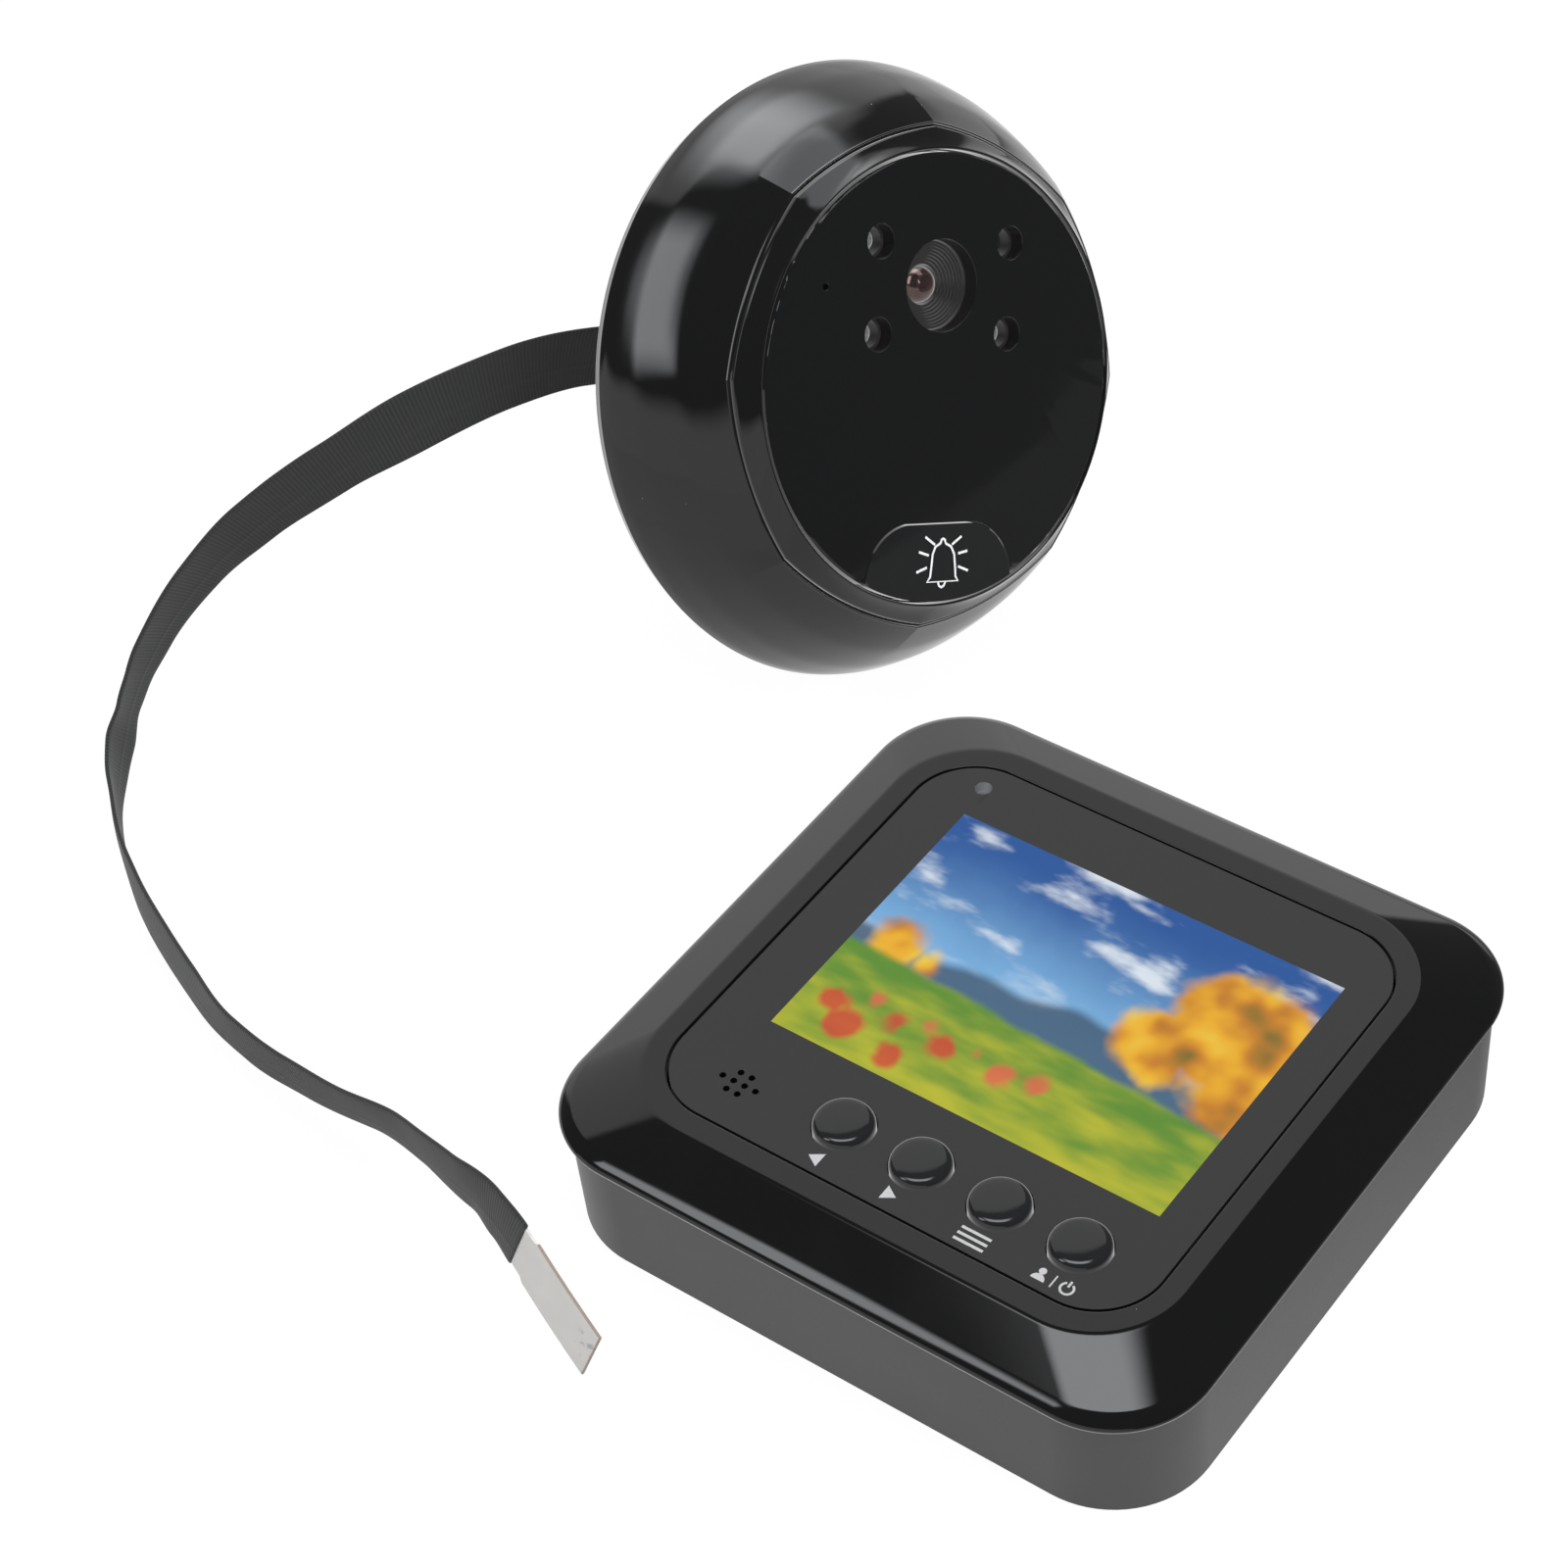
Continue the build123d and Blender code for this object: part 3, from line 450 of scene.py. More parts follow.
def clothFinish():
    # woven tape: fine ribs across it, threads along it, a faint raised core line, and fuzz
    look = clothLook
    material, spot = paint("ribbonCloth", Sheen_Weight=0.25, Sheen_Roughness=0.5, Specular_IOR_Level=0.3)
    uv = spot.make("TexCoord", out=2)
    along = uv.axis(0) * (ribbonLength / look["rib"])
    across = uv.axis(1)
    ribs = (along * (2 * math.pi)).math("SINE") * 0.5 + 0.5
    threads = (across * (2 * math.pi * look["threads"])).math("SINE") * 0.5 + 0.5
    core = abs(across - look["core"]).ease(look["coreSoft"], 0.0)
    fuzz = spot.noise(look["fuzz"], 3)
    relief, shade = look["relief"], look["shade"]
    height = ribs * relief["rib"] + threads * relief["thread"] + core * relief["core"] + fuzz * relief["fuzz"]
    tone = ribs * shade["rib"] + fuzz * shade["fuzz"] + core * shade["core"]
    feed(material, Base_Color=tone.blend(grey(*look["dark"]), grey(*look["light"])),
         Roughness=fuzz * look["roughVary"] + look["rough"],
         Normal=bumped(height, look["depth"], look["strength"]))
    return material


def thicken(band, thickness, edge, segments):
    modify(band, "SOLIDIFY", thickness=thickness, offset=0)
    modify(band, "BEVEL", width=edge, segments=segments, angle_limit=math.radians(50))


def makeRibbon():
    shape = ribbonShape
    count = len(ribbonPoints) - 1
    bpy.ops.mesh.primitive_grid_add(x_subdivisions=count, y_subdivisions=8, size=1)
    band = bpy.context.active_object
    for vert in band.data.vertices:
        spot, ahead, across, face = ribbonFrames[round((vert.co.x + 0.5) * count)]
        share = vert.co.y * 2
        bow = (1 - share * share) * shape["bow"]
        vert.co = spot + across * (share * shape["width"] / 2) + face * bow
    thicken(band, shape["thickness"], shape["edge"], 3)
    smoothOver(band, 40, weighted=False)
    return settle(band, "ribbonBand", clothFinish(), ["ribbon_cable"])


def tailFinish(place):
    # milky film with a brown line along its cut edges and a little scuff near the tip
    look = tailLook
    material, spot = paint("tailFilm", place, IOR=1.45, Specular_IOR_Level=0.4)
    along = spot.axis(0) / (tailShape["length"] * mm)
    aside = abs(spot.axis(1)) / (tailShape["width"] / 2 * mm)
    edge = aside.ease(*look["cutSide"]).math("MAXIMUM", along.ease(*look["cutTip"]))
    cloud = spot.noise(260, 3)
    scuff = spot.noise(900, 4).ease(0.56, 0.66) * along.ease(*look["scuffAlong"])
    scuff = scuff * (1 - aside.ease(*look["scuffAcross"]))
    film = (scuff * look["scuffShare"]).blend(cloud.blend(*look["film"]), look["scuff"])
    feed(material, Base_Color=(edge * look["cutShare"]).blend(film, look["cut"]),
         Roughness=cloud * 0.2 + 0.3,
         Normal=bumped(spot.noise(500, 2), 0.00003, 0.3))
    return material


def makeTail():
    spot, ahead, across, face = ribbonFrames[-1]
    place = Matrix.Translation(spot) @ Matrix((ahead, across, face)).transposed().to_4x4()
    shape = tailShape
    bpy.ops.mesh.primitive_grid_add(x_subdivisions=24, y_subdivisions=8, size=1)
    film = bpy.context.active_object
    for vert in film.data.vertices:
        along = (vert.co.x + 0.5) * shape["length"] * mm
        widen = min(1, max(0, (along / mm - shape["neckLength"]) / shape["neckBlend"]))
        width = shape["neck"] + (shape["width"] - shape["neck"]) * widen * widen * (3 - 2 * widen)
        # the film springs a little out of flat on its way to the tip
        rise = math.sin(math.pi * along / (shape["length"] * mm)) * shape["spring"] * mm
        vert.co = (along, vert.co.y * width * mm, rise)
    thicken(film, shape["thickness"] * mm, shape["edge"] * mm, 2)
    smoothOver(film, 40)
    return settle(film, "ribbonTail", tailFinish(place), ["ribbon_connector"], place)


ribbonBand = makeRibbon()
ribbonTail = makeTail()
print("ribbon laid")


# Bezel of the monitor: loops of rounded corners, bridged from the skirt to the pocket for the panel

bezelShape = {
    "width": 79.3, "length": 79.0, "corner": 11.4, "foot": 14.4,
    "roll": [(0.35, 14.4), (0.3, 14.42), (0.12, 14.62), (0.02, 14.86)],
    "rollStart": (0.0, 15.0), "rollPull": (0.0, 15.6), "rollEnd": (1.62, 16.38), "rollSteps": 12,
    "rim": (66.0, 65.4, 10.9, 18.8), "rimRound": 0.3, "rimSteps": 6,
    "pocket": (60.8, 59.7, 8.0), "pocketRound": 0.14, "pocketSteps": 3, "pocketFloor": 17.6,
    "inside": (54.0, 53.0, 5.0), "under": (71.7, 71.4, 7.6), "underDrop": 1.0,
    "segments": 22,
}
# painted shade on the walls of the pocket for the panel: black, rough metal below the rim's top
bezelLook = {"rough": 0.04, "gap": (None, 0.01877, 0.0305)}


def roundedLoop(width, length, corner, height, number):
    bpy.ops.mesh.primitive_plane_add(size=1)
    loop = bpy.context.active_object
    bpy.ops.object.mode_set(mode="EDIT")
    bpy.ops.transform.resize(value=(width * mm, length * mm, 1))
    bpy.ops.transform.translate(value=(0, 0, height * mm))
    bpy.ops.mesh.bevel(offset=corner * mm, segments=bezelShape["segments"], affect="VERTICES", clamp_overlap=False)
    bpy.ops.mesh.select_all(action="SELECT")
    bpy.ops.mesh.delete(type="ONLY_FACE")
    endEdit()
    group = loop.vertex_groups.new(name="loop%02d" % number)
    group.add([vert.index for vert in loop.data.vertices], 1, "REPLACE")
    return loop


def bridgedLoops(rows):
    # rows of (width, length, corner, height), each bridged to the next and the last to the first
    shell = joinAll([roundedLoop(*row, number) for number, row in enumerate(rows)])
    for first in range(len(rows)):
        edit(shell, "DESELECT")
        for number in (first, (first + 1) % len(rows)):
            shell.vertex_groups.active_index = shell.vertex_groups["loop%02d" % number].index
            bpy.ops.object.vertex_group_select()
        bpy.ops.mesh.bridge_edge_loops()
        endEdit()
    shell.vertex_groups.clear()
    return tidyMesh(shell)


def pulledRows(start, pull, end, steps):
    # rows on a curve from start to end that leans towards pull
    for k in range(steps + 1):
        t = k / steps
        yield tuple(a * (1 - t) ** 2 + 2 * b * t * (1 - t) + c * t * t for a, b, c in zip(start, pull, end))


def bezelRows():
    shape = bezelShape

    def inset(amount, height):
        return (shape["width"] - 2 * amount, shape["length"] - 2 * amount, shape["corner"] - amount, height)

    roll = pulledRows(shape["rollStart"], shape["rollPull"], shape["rollEnd"], shape["rollSteps"])
    rows = [inset(*row) for row in (*shape["roll"], *roll)]
    # the slope up to the rim, and the rim's own small round
    shoulder, rim, soft = rows[-1], shape["rim"], shape["rimRound"]
    slopeShare = 1 - soft / ((shoulder[0] - rim[0]) / 2)
    start = tuple(a + (b - a) * slopeShare for a, b in zip(shoulder, rim))
    rows += pulledRows(start, rim, (rim[0] - 2 * soft, rim[1] - 2 * soft, rim[2] - soft, rim[3]), shape["rimSteps"])
    # down into the pocket, across its floor and out to the foot from inside
    width, length, corner = shape["pocket"]
    soft = shape["pocketRound"]
    for k in range(shape["pocketSteps"] + 1):
        t = math.radians(90 * k / shape["pocketSteps"])
        out = soft * (1 - math.sin(t))
        rows.append((width + 2 * out, length + 2 * out, corner + out, rim[3] - soft * (1 - math.cos(t))))
    underside = shape["pocketFloor"] - shape["underDrop"]
    return rows + [(*shape["pocket"], shape["pocketFloor"]), (*shape["inside"], shape["pocketFloor"]),
                   (*shape["inside"], underside), (*shape["under"], underside), (*shape["under"], shape["foot"])]


bezel = smoothOver(bridgedLoops(bezelRows()), 40)
settle(bezel, "bezelShell", glossBlack("bezelGloss", **bezelLook), ["front_bezel"])
print("bezel made")


# Case and battery cover

caseLook = {"tone": 0.052, "vary": 0.15, "rough": 0.42, "specks": (3.4, 0.06, 0.6), "speckTone": 0.3,
            "speckRough": 0.3, "grain": 5200, "grainRough": 0.12, "grainDepth": 0.00002, "grainStrength": 0.35}


def caseFinish():
    # fine-grained satin black with a few specks
    look = caseLook
    material, spot = paint("caseSatin", IOR=1.5)
    speck = dust(spot, *look["specks"])
    grain = spot.noise(look["grain"], 2)
    tone = spot.noise(90, 2).blend(grey(look["tone"] * (1 - look["vary"])), grey(look["tone"] * (1 + look["vary"])))
    feed(material, Base_Color=speck.blend(tone, grey(look["speckTone"])),
         Roughness=grain * look["grainRough"] + (look["rough"] - look["grainRough"] / 2) + speck * look["speckRough"],
         Normal=bumped(grain, look["grainDepth"], look["grainStrength"]))
    return material


def fineCopy(nodeName, name, material, degrees=28, body="camera_set"):
    # the node's own form with its corners merged, so that its round faces shade smoothly
    pickOnly(nodes[nodeName])
    bpy.ops.object.duplicate()
    copy = bpy.context.active_object
    bpy.ops.object.parent_clear(type="CLEAR_KEEP_TRANSFORM")
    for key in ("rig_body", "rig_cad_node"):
        if key in copy:
            del copy[key]
    edit(copy)
    bpy.ops.mesh.remove_doubles(threshold=weld)
    bpy.ops.mesh.tris_convert_to_quads(face_threshold=math.radians(1), shape_threshold=math.radians(180))
    endEdit()
    smoothOver(copy, degrees)
    settle(copy, name, material, [nodeName], body=body)


caseSatin = caseFinish()
fineCopy("rear_case", "caseShell", caseSatin)
fineCopy("battery_cover", "batteryCover", caseSatin, body="battery_door")
print("case made")


# Outdoor unit: the faceted swelling housing and its ring, drawn in the unit's own axes and then put in their place;
# an outline's points are radius and height, a flat's are height and how far in it is drawn

housingShape = {
    "swell": [(29.84, -2.86), (31.5, -5.0), (32.9, -7.0), (34.1, -9.2), (35.35, -11.8), (36.15, -14.0),
              (36.76, -16.0), (37.0, -17.4)],
    "back": [(36.55, -18.4), (36.2, -19.2), (35.6, -19.75), (34.9, -20.0)],
    "inner": [(33.4, -20.0), (33.4, -18.0), (32.2, -18.0), (29.0, -5.6), (25.2, -5.6), (25.2, -4.0), (28.1, -4.0),
              (28.1, -3.1)],
    "lip": [(29.5, -3.1), (29.56, -3.0), (29.58, -2.75), (29.62, -2.68), (29.69, -2.66), (29.77, -2.72)],
    "flat": [(-2.0, 0.976), (-2.9, 0.977), (-5.0, 0.986), (-7.0, 0.992), (-9.2, 0.9955), (-12.0, 0.998),
             (-16.0, 1.0), (-20.0, 1.0)],
    "steps": 192,
    # the flats are on the outside only: past the lip, and below the rear shelf past the inner wall
    "lipEdge": 29.4, "shelf": -18.0, "wallEdge": 33.9,
}
ringShape = {
    "outline": [(28.1, -4.0), (28.1, -2.95), (29.2, -2.95), (29.25, -2.6), (29.24, -2.42), (29.2, -2.3),
                (29.1, -2.18), (28.6, -1.78), (28.1, -1.38), (27.6, -0.94), (27.15, -0.5), (26.98, -0.27),
                (26.9, -0.17), (26.8, -0.13), (26.7, -0.17), (26.62, -0.3), (26.6, -1.9), (26.4, -2.05),
                (26.4, -4.0)],
    "flat": [(-0.4, 1.0), (-1.0, 0.991), (-1.8, 0.981), (-2.3, 0.976), (-3.0, 0.976)],
    "steps": 192,
    # its inner edge and the part that goes down into its seat stay round
    "innerEdge": 27.0, "seatEdge": 28.12, "seat": -1.9,
}
flatSides = 8
housingLook = {"specks": (3.0, 0.06, 0.72)}


def facetShare(height, turn, flats):
    # how far in a point is drawn: 1 at the corner between two flats, least in the middle of a flat
    share = flats[-1][1] if height < flats[-1][0] else flats[0][1]
    for (a, low), (b, high) in zip(flats, flats[1:]):
        if a >= height >= b:
            share = low + (high - low) * (a - height) / (a - b)
    step = 2 * math.pi / flatSides
    away = (turn % step) / step * 2 - 1
    return 1 - (1 - share) * (1 - away * away)


def facet(obj, flats, outside):
    # draws in the vertices whose radius and height, in mm, pass the test
    for vert in obj.data.vertices:
        radius, height = math.hypot(vert.co.x, vert.co.y) / mm, vert.co.z / mm
        if outside(radius, height):
            share = facetShare(height, math.atan2(vert.co.y, vert.co.x), flats)
            vert.co.x *= share
            vert.co.y *= share


def makeHousing():
    shape = housingShape

    def outside(radius, height):
        return radius > shape["lipEdge"] and height > shape["shelf"] or radius > shape["wallEdge"]

    outline = throughPoints(shape["swell"], 5) + throughPoints(shape["back"], 4)
    housing = spun(outline + shape["inner"] + shape["lip"], shape["steps"])
    facet(housing, shape["flat"], outside)
    smoothOver(housing, 6)
    settle(housing, "housingShell", glossBlack("housingGloss", **housingLook), ["door_housing"],
           unitPlace)


def makeRing():
    shape = ringShape

    def outside(radius, height):
        return radius > shape["innerEdge"] and not (radius < shape["seatEdge"] and height < shape["seat"])

    ring = spun(shape["outline"], shape["steps"])
    facet(ring, shape["flat"], outside)
    smoothOver(ring, 8)
    settle(ring, "trimRing", glossBlack("ringGloss"), ["trim_ring"], unitPlace)


makeHousing()
makeRing()
print("housing and ring made")


# Faceplate

faceLook = {
    "level": 0.42, "tone": (0.006, 0.05), "rough": 0.035, "smudgeScale": 70, "smudgeRange": (0.45, 0.75),
    "specks": (3.2, 0.05, 0.72), "speckTone": 0.3, "ripple": 300, "rippleDepth": 0.0001, "rippleStrength": 0.01,
    # painted shade on the walls of the plate's holes: black, rough metal below its face
    "gap": (unitPlace, -0.00002, 0.018),
}
fineCopy("face_plate", "facePlate", glossBlack("faceGloss", **faceLook))
print("plate made")


# Lens and lamps behind the plate

lensShape = {
    "middle": (-0.4, 10.86),
    "barrel": [(5.15, -2.3), (5.15, -5.4), (4.75, -5.4), (4.75, -8.5), (2.4, -8.5), (2.4, -3.62), (2.75, -3.6),
               (2.75, -3.4), (3.1, -3.38), (3.1, -3.18), (3.45, -3.16), (3.45, -2.97), (3.8, -2.95), (3.8, -2.77),
               (4.15, -2.75), (4.15, -2.58), (4.5, -2.56), (4.5, -2.42), (4.85, -2.4), (4.85, -2.3)],
    "dome": [(0.0, -2.35), (0.3, -2.38), (0.6, -2.45), (0.9, -2.57), (1.2, -2.75), (1.5, -2.99), (1.75, -3.27),
             (1.95, -3.6), (2.1, -4.0), (2.15, -4.4), (0.0, -4.4)],
}
lensLook = {
    "barrel": (0.028, 0.028, 0.028), "tint": (1, 0.72, 0.66, 1),
    "deep": (0.02, 0.006, 0.007, 1), "ring": (0.1, 0.05, 0.055, 1), "ringEvery": 0.45, "ringEdge": (0.3, 0.4),
    "ringShare": 0.4,
}
lampLook = {"dark": (0.12, 0.12, 0.125, 1), "light": (0.5, 0.5, 0.51, 1), "sensor": (0.14, 0.2, 0.34)}
# each window's piece, slot, alpha and tone
windowLook = {
    "lens_window": ("lensWindow", "window_clear", 0.2, (0.03, 0.026, 0.025)),
    "lamp_windows": ("lampWindows", "lamp_window_dark", 0.24, (0.016, 0.013, 0.015)),
}


def makeLens():
    look = lensLook
    x, y = lensShape["middle"]
    place = unitPlace @ Matrix.Translation((x * mm, y * mm, 0))
    barrel = smoothOver(spun(lensShape["barrel"], 96), 30)
    black = plainFinish("barrelBlack", look["barrel"], 0.3, 0, 1500, 0.00001)
    settle(barrel, "lensBarrel", black, ["lens_barrel"], place)
    glass, spot = paint("lensGlass", place, IOR=1.6, Specular_IOR_Level=1.0, Specular_Tint=look["tint"])
    away = spot.make("VectorMath", {0: spot}, 1, operation="LENGTH")
    ring = (away * (1 / mm)).math("PINGPONG", look["ringEvery"]).ease(*look["ringEdge"])
    feed(glass, Base_Color=(ring * look["ringShare"]).blend(look["deep"], look["ring"]),
         Roughness=spot.noise(300, 2) * 0.02 + 0.02)
    dome = smoothOver(spun(lensShape["dome"], 64), 40)
    settle(dome, "frontLens", glass, ["front_lens"], place)


def makeLamps():
    clear, spot = paint("lampEpoxy", IOR=1.54, Specular_IOR_Level=0.6)
    feed(clear, Base_Color=spot.noise(700, 3).blend(lampLook["dark"], lampLook["light"]),
         Roughness=spot.noise(900, 2) * 0.06 + 0.06)
    for number in (1, 2, 3):
        fineCopy("ir_lamp_%d" % number, "lamp_%d" % number, clear, 50)
    fineCopy("light_sensor", "lightSensor",
             plainFinish("sensorClear", lampLook["sensor"], 0.12, 0.3, 1500), 50)


def makeWindows():
    for node, (name, slotName, alpha, tone) in windowLook.items():
        material, spot = paint(name, IOR=1.5, Specular_IOR_Level=0.5)
        cloud = spot.noise(180, 2)
        # only the outer face of a window is seen, not its edge or its back
        face = 1 - gapShade(objectSpot(spot, unitPlace), faceLook["gap"][1], 1)
        feed(material, Base_Color=cloud.blend((*tone, 1), (*(c * 1.3 for c in tone), 1)),
             Alpha=(cloud * 0.06 + (alpha - 0.03)) * face, Roughness=cloud * 0.03 + 0.03)
        fineCopy(node, name, material)


makeLens()
makeLamps()
makeWindows()
print("lens and lamps made")


# Bell button and the white bell printed on it

bellShape = {
    "top": 0.45,
    "print": 0.03,
    "stroke": 0.3,
    "body": [(-1.67, -23.9), (-1.2, -23.35), (-1.07, -22.4), (-0.89, -20.6), (-0.5, -19.75), (0.28, -19.35),
             (0.42, -18.95), (0.68, -18.8), (0.94, -18.95), (1.1, -19.38), (1.95, -19.8), (2.48, -20.7),
             (2.71, -22.5), (2.78, -23.35), (3.17, -23.9)],
    "clapper": [(0.05, -23.95), (0.25, -24.4), (0.62, -24.58), (1.0, -24.38), (1.2, -23.95)],
    "rays": [[(-2.12, -18.51), (-0.59, -19.5)], [(-3.04, -20.28), (-1.5, -20.72)], [(-3.37, -22.68), (-1.75, -22.15)],
             [(3.55, -18.63), (2.08, -19.56)], [(4.53, -20.39), (3.1, -20.66)], [(4.73, -22.76), (3.15, -22.2)]],
}
bellLook = {"rough": 0.04, "tone": (0.009, 0.04)}


def stroke(points, closed, width, low, top):
    # a printed line: edges filled out to a band with round ends, then pressed flat
    line = drawnRun(points, closed, flat=True)
    bpy.ops.mesh.remove_doubles(threshold=weld)
    endEdit()
    bpy.ops.object.convert(target="CURVE")
    line.data.dimensions = "3D"
    line.data.bevel_depth = width / 2 * mm
    line.data.bevel_resolution = 3
    line.data.use_fill_caps = True
    bpy.ops.object.convert(target="MESH")
    edit(line)
    bpy.ops.transform.resize(value=(1, 1, (top - low) / width))
    bpy.ops.transform.translate(value=(0, 0, (top + low) / 2 * mm))
    endEdit()
    return line


def inkFinish(name, tone):
    material, spot = paint(name, IOR=1.45)
    wear = spot.noise(1800, 3)
    feed(material, Base_Color=wear.blend(grey(tone * 0.9), grey(tone)), Roughness=wear * 0.2 + 0.4)
    return material


whiteInk = inkFinish("whiteInk", 0.92)
greyInk = inkFinish("greyInk", 0.6)


def makeBell():
    shape = bellShape
    fineCopy("bell_button", "bellButton", glossBlack("bellGloss", **bellLook), 30, "bell")
    line = (shape["stroke"], shape["top"] - shape["print"] / 2, shape["top"] + shape["print"] / 2)
    strokes = [stroke(shape["body"], True, *line)]
    strokes += [stroke(points, False, *line) for points in (shape["clapper"], *shape["rays"])]
    icon = smoothOver(joinAll(strokes), 50, weighted=False)
    settle(icon, "bellPrint", whiteInk, (), unitPlace, "bell")


makeBell()
print("bell made")


# Monitor front: sheet, screen, buttons and printed symbols

panelLook = {
    "tone": (0.012, 0.02), "smudge": 0.06, "smudgeScale": 55, "smudgeRange": (0.4, 0.75),
    "specks": (4.0, 0.05, 0.6), "speckTone": 0.25, "ripple": 260, "rippleDepth": 0.0001, "rippleStrength": 0.008,
    # painted shade: the walls of the holes and the outer edge are made black, rough metal with a near-black colour,
    # in place of the gaps' own shade
    "gap": (None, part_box("front_panel")[1].z, 1), "paintedShadeTone": 0.001,
}
pipeColor = (0.12, 0.125, 0.14)
# places and sizes are shares of the picture's width, from the middle of its left side
pictureShape = {
    "glow": 0.92,
    "skyHigh": (0.008, 0.085, 0.33, 1), "skyLow": (0.22, 0.5, 0.82, 1), "skyRange": (-0.12, 0.34),
    "cloud": (0.8, 0.87, 0.93, 1), "cloudShare": 0.9,
    "hill": (0.03, 0.07, 0.13, 1), "hillTop": -0.12, "hillRise": 0.2, "hillShare": 0.85,
    "fieldNear": (0.5, 0.5, 0.02, 1), "fieldFar": (0.1, 0.27, 0.02, 1), "fieldTop": -0.1, "fieldSlope": 0.06,
    "leaves": [(0.26, (0.14, 0.13, 0.015)), (0.42, (0.6, 0.22, 0.008)), (0.55, (0.85, 0.42, 0.01)),
               (0.75, (0.93, 0.66, 0.06))],
    # each crown's middle, radius, raggedness and softness
    "crowns": [(0.88, 0.13, 0.17, 0.16, 0.03), (0.74, 0.02, 0.1, 0.13, 0.025), (1.0, -0.02, 0.13, 0.13, 0.025),
               (0.1, -0.05, 0.07, 0.13, 0.025), (0.2, -0.06, 0.045, 0.13, 0.025)],
    "poppies": [(0.17, -0.2, 0.02), (0.23, -0.22, 0.03), (0.3, -0.2, 0.018), (0.36, -0.24, 0.032),
                (0.43, -0.21, 0.02), (0.08, -0.24, 0.026), (0.5, -0.25, 0.026), (0.14, -0.3, 0.034),
                (0.6, -0.23, 0.018), (0.27, -0.32, 0.03)],
    "poppyEdge": (0.16, 0.016), "poppyShare": 0.85, "poppyReds": ((0.75, 0.12, 0.06, 1), (0.62, 0.03, 0.02, 1)),
}


def pictureFinish():
    # a made-up landscape, out of focus: sky and clouds, a far hill, autumn trees, a meadow with poppies
    low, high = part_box("screen_window")
    middle, size = (low + high) / 2, high - low
    shape = pictureShape
    material, spot = paint("displayPicture", IOR=1.5, Specular_IOR_Level=0.22, Base_Color=grey(0.01),
                           Emission_Strength=shape["glow"])
    flat = spot.make("Mapping", {
        "Vector": spot, "Location": (0.5 - middle.x / size.x, -middle.y / size.x, 0),
        "Scale": (1 / size.x, 1 / size.x, 0)})
    x, y = flat.axis(0), flat.axis(1)
    soft = flat.noise(6, 3) - 0.5

    def blob(cx, cy, radius, ragged, edge):
        away = flat.make("VectorMath", {0: flat, 1: (cx, cy, 0)}, 1, operation="DISTANCE")
        return (away + soft * ragged).ease(radius + edge, radius - edge)

    picture = (y + soft * 0.1).ease(*shape["skyRange"]).blend(shape["skyLow"], shape["skyHigh"])
    clouds = flat.noise(3.6, 4, (1, 2.3, 1)).ease(0.5, 0.68) * (y + soft * 0.2).ease(-0.08, 0.1)
    picture = (clouds * shape["cloudShare"]).blend(picture, shape["cloud"])
    ridge = flat.noise(2.6, 2, (1, 0, 1)) * shape["hillRise"]
    hill = (y - ridge - shape["hillTop"]).ease(0.018, -0.018)
    picture = (hill * shape["hillShare"]).blend(picture, shape["hill"])
    leaves = flat.make("ValToRGB", {0: flat.noise(8, 1.5)}, stops=shape["leaves"])
    crowns = blob(*shape["crowns"][0])
    for crown in shape["crowns"][1:]:
        crowns = crowns.math("MAXIMUM", blob(*crown))
    picture = crowns.blend(picture, leaves)
    field = (y + (x - 0.5) * shape["fieldSlope"] + soft * 0.03 - shape["fieldTop"]).ease(0.014, -0.014)
    shade = flat.noise(5, 2, (1, 3, 1)) * 0.7 + (y + 0.4) * -0.9 + 0.3
    picture = field.blend(picture, shade.ease(0.3, 0.75).blend(shape["fieldFar"], shape["fieldNear"]))
    for number, poppy in enumerate(shape["poppies"]):
        share = blob(*poppy, *shape["poppyEdge"]) * shape["poppyShare"]
        picture = share.blend(picture, shape["poppyReds"][number % 2])
    feed(material, Emission_Color=picture, Roughness=flat.noise(30, 2) * 0.04 + 0.06)
    return material


fineCopy("front_panel", "frontPanel", glossBlack("panelGloss", **panelLook), 30)
fineCopy("screen_window", "screenWindow", pictureFinish(), 30)
fineCopy("light_pipe", "lightPipe", plainFinish("pipeGrey", pipeColor, 0.4, 0, 900, 0.00001), 40)

buttonShape = {
    "first": (-8.4, -22.6), "pitch": 9.77,
    "outline": [(0.0, 15.9), (4.13, 15.9), (4.13, 16.5), (3.38, 16.5), (3.38, 18.85), (3.37, 19.0), (3.34, 19.14),
                (3.28, 19.28), (3.19, 19.42), (3.06, 19.55), (2.88, 19.65), (2.6, 19.73), (2.2, 19.785),
                (1.6, 19.83), (0.8, 19.858), (0.0, 19.87)],
    "steps": 72,
}
buttonLook = {"tone": (0.014, 0.04), "specks": (3.0, 0.04, 0.72)}


def makeButtons():
    shape = buttonShape
    gloss = glossBlack("buttonGloss", **buttonLook)
    for number in range(4):
        cap = smoothOver(spun(shape["outline"], shape["steps"], closed=False), 40)
        x, y = shape["first"][0] + number * shape["pitch"], shape["first"][1]
        settle(cap, "buttonCap%d" % (number + 1), gloss, ["button_cap_%d" % (number + 1)],
               Matrix.Translation((x * mm, y * mm, 0)), "button_%d" % (number + 1))


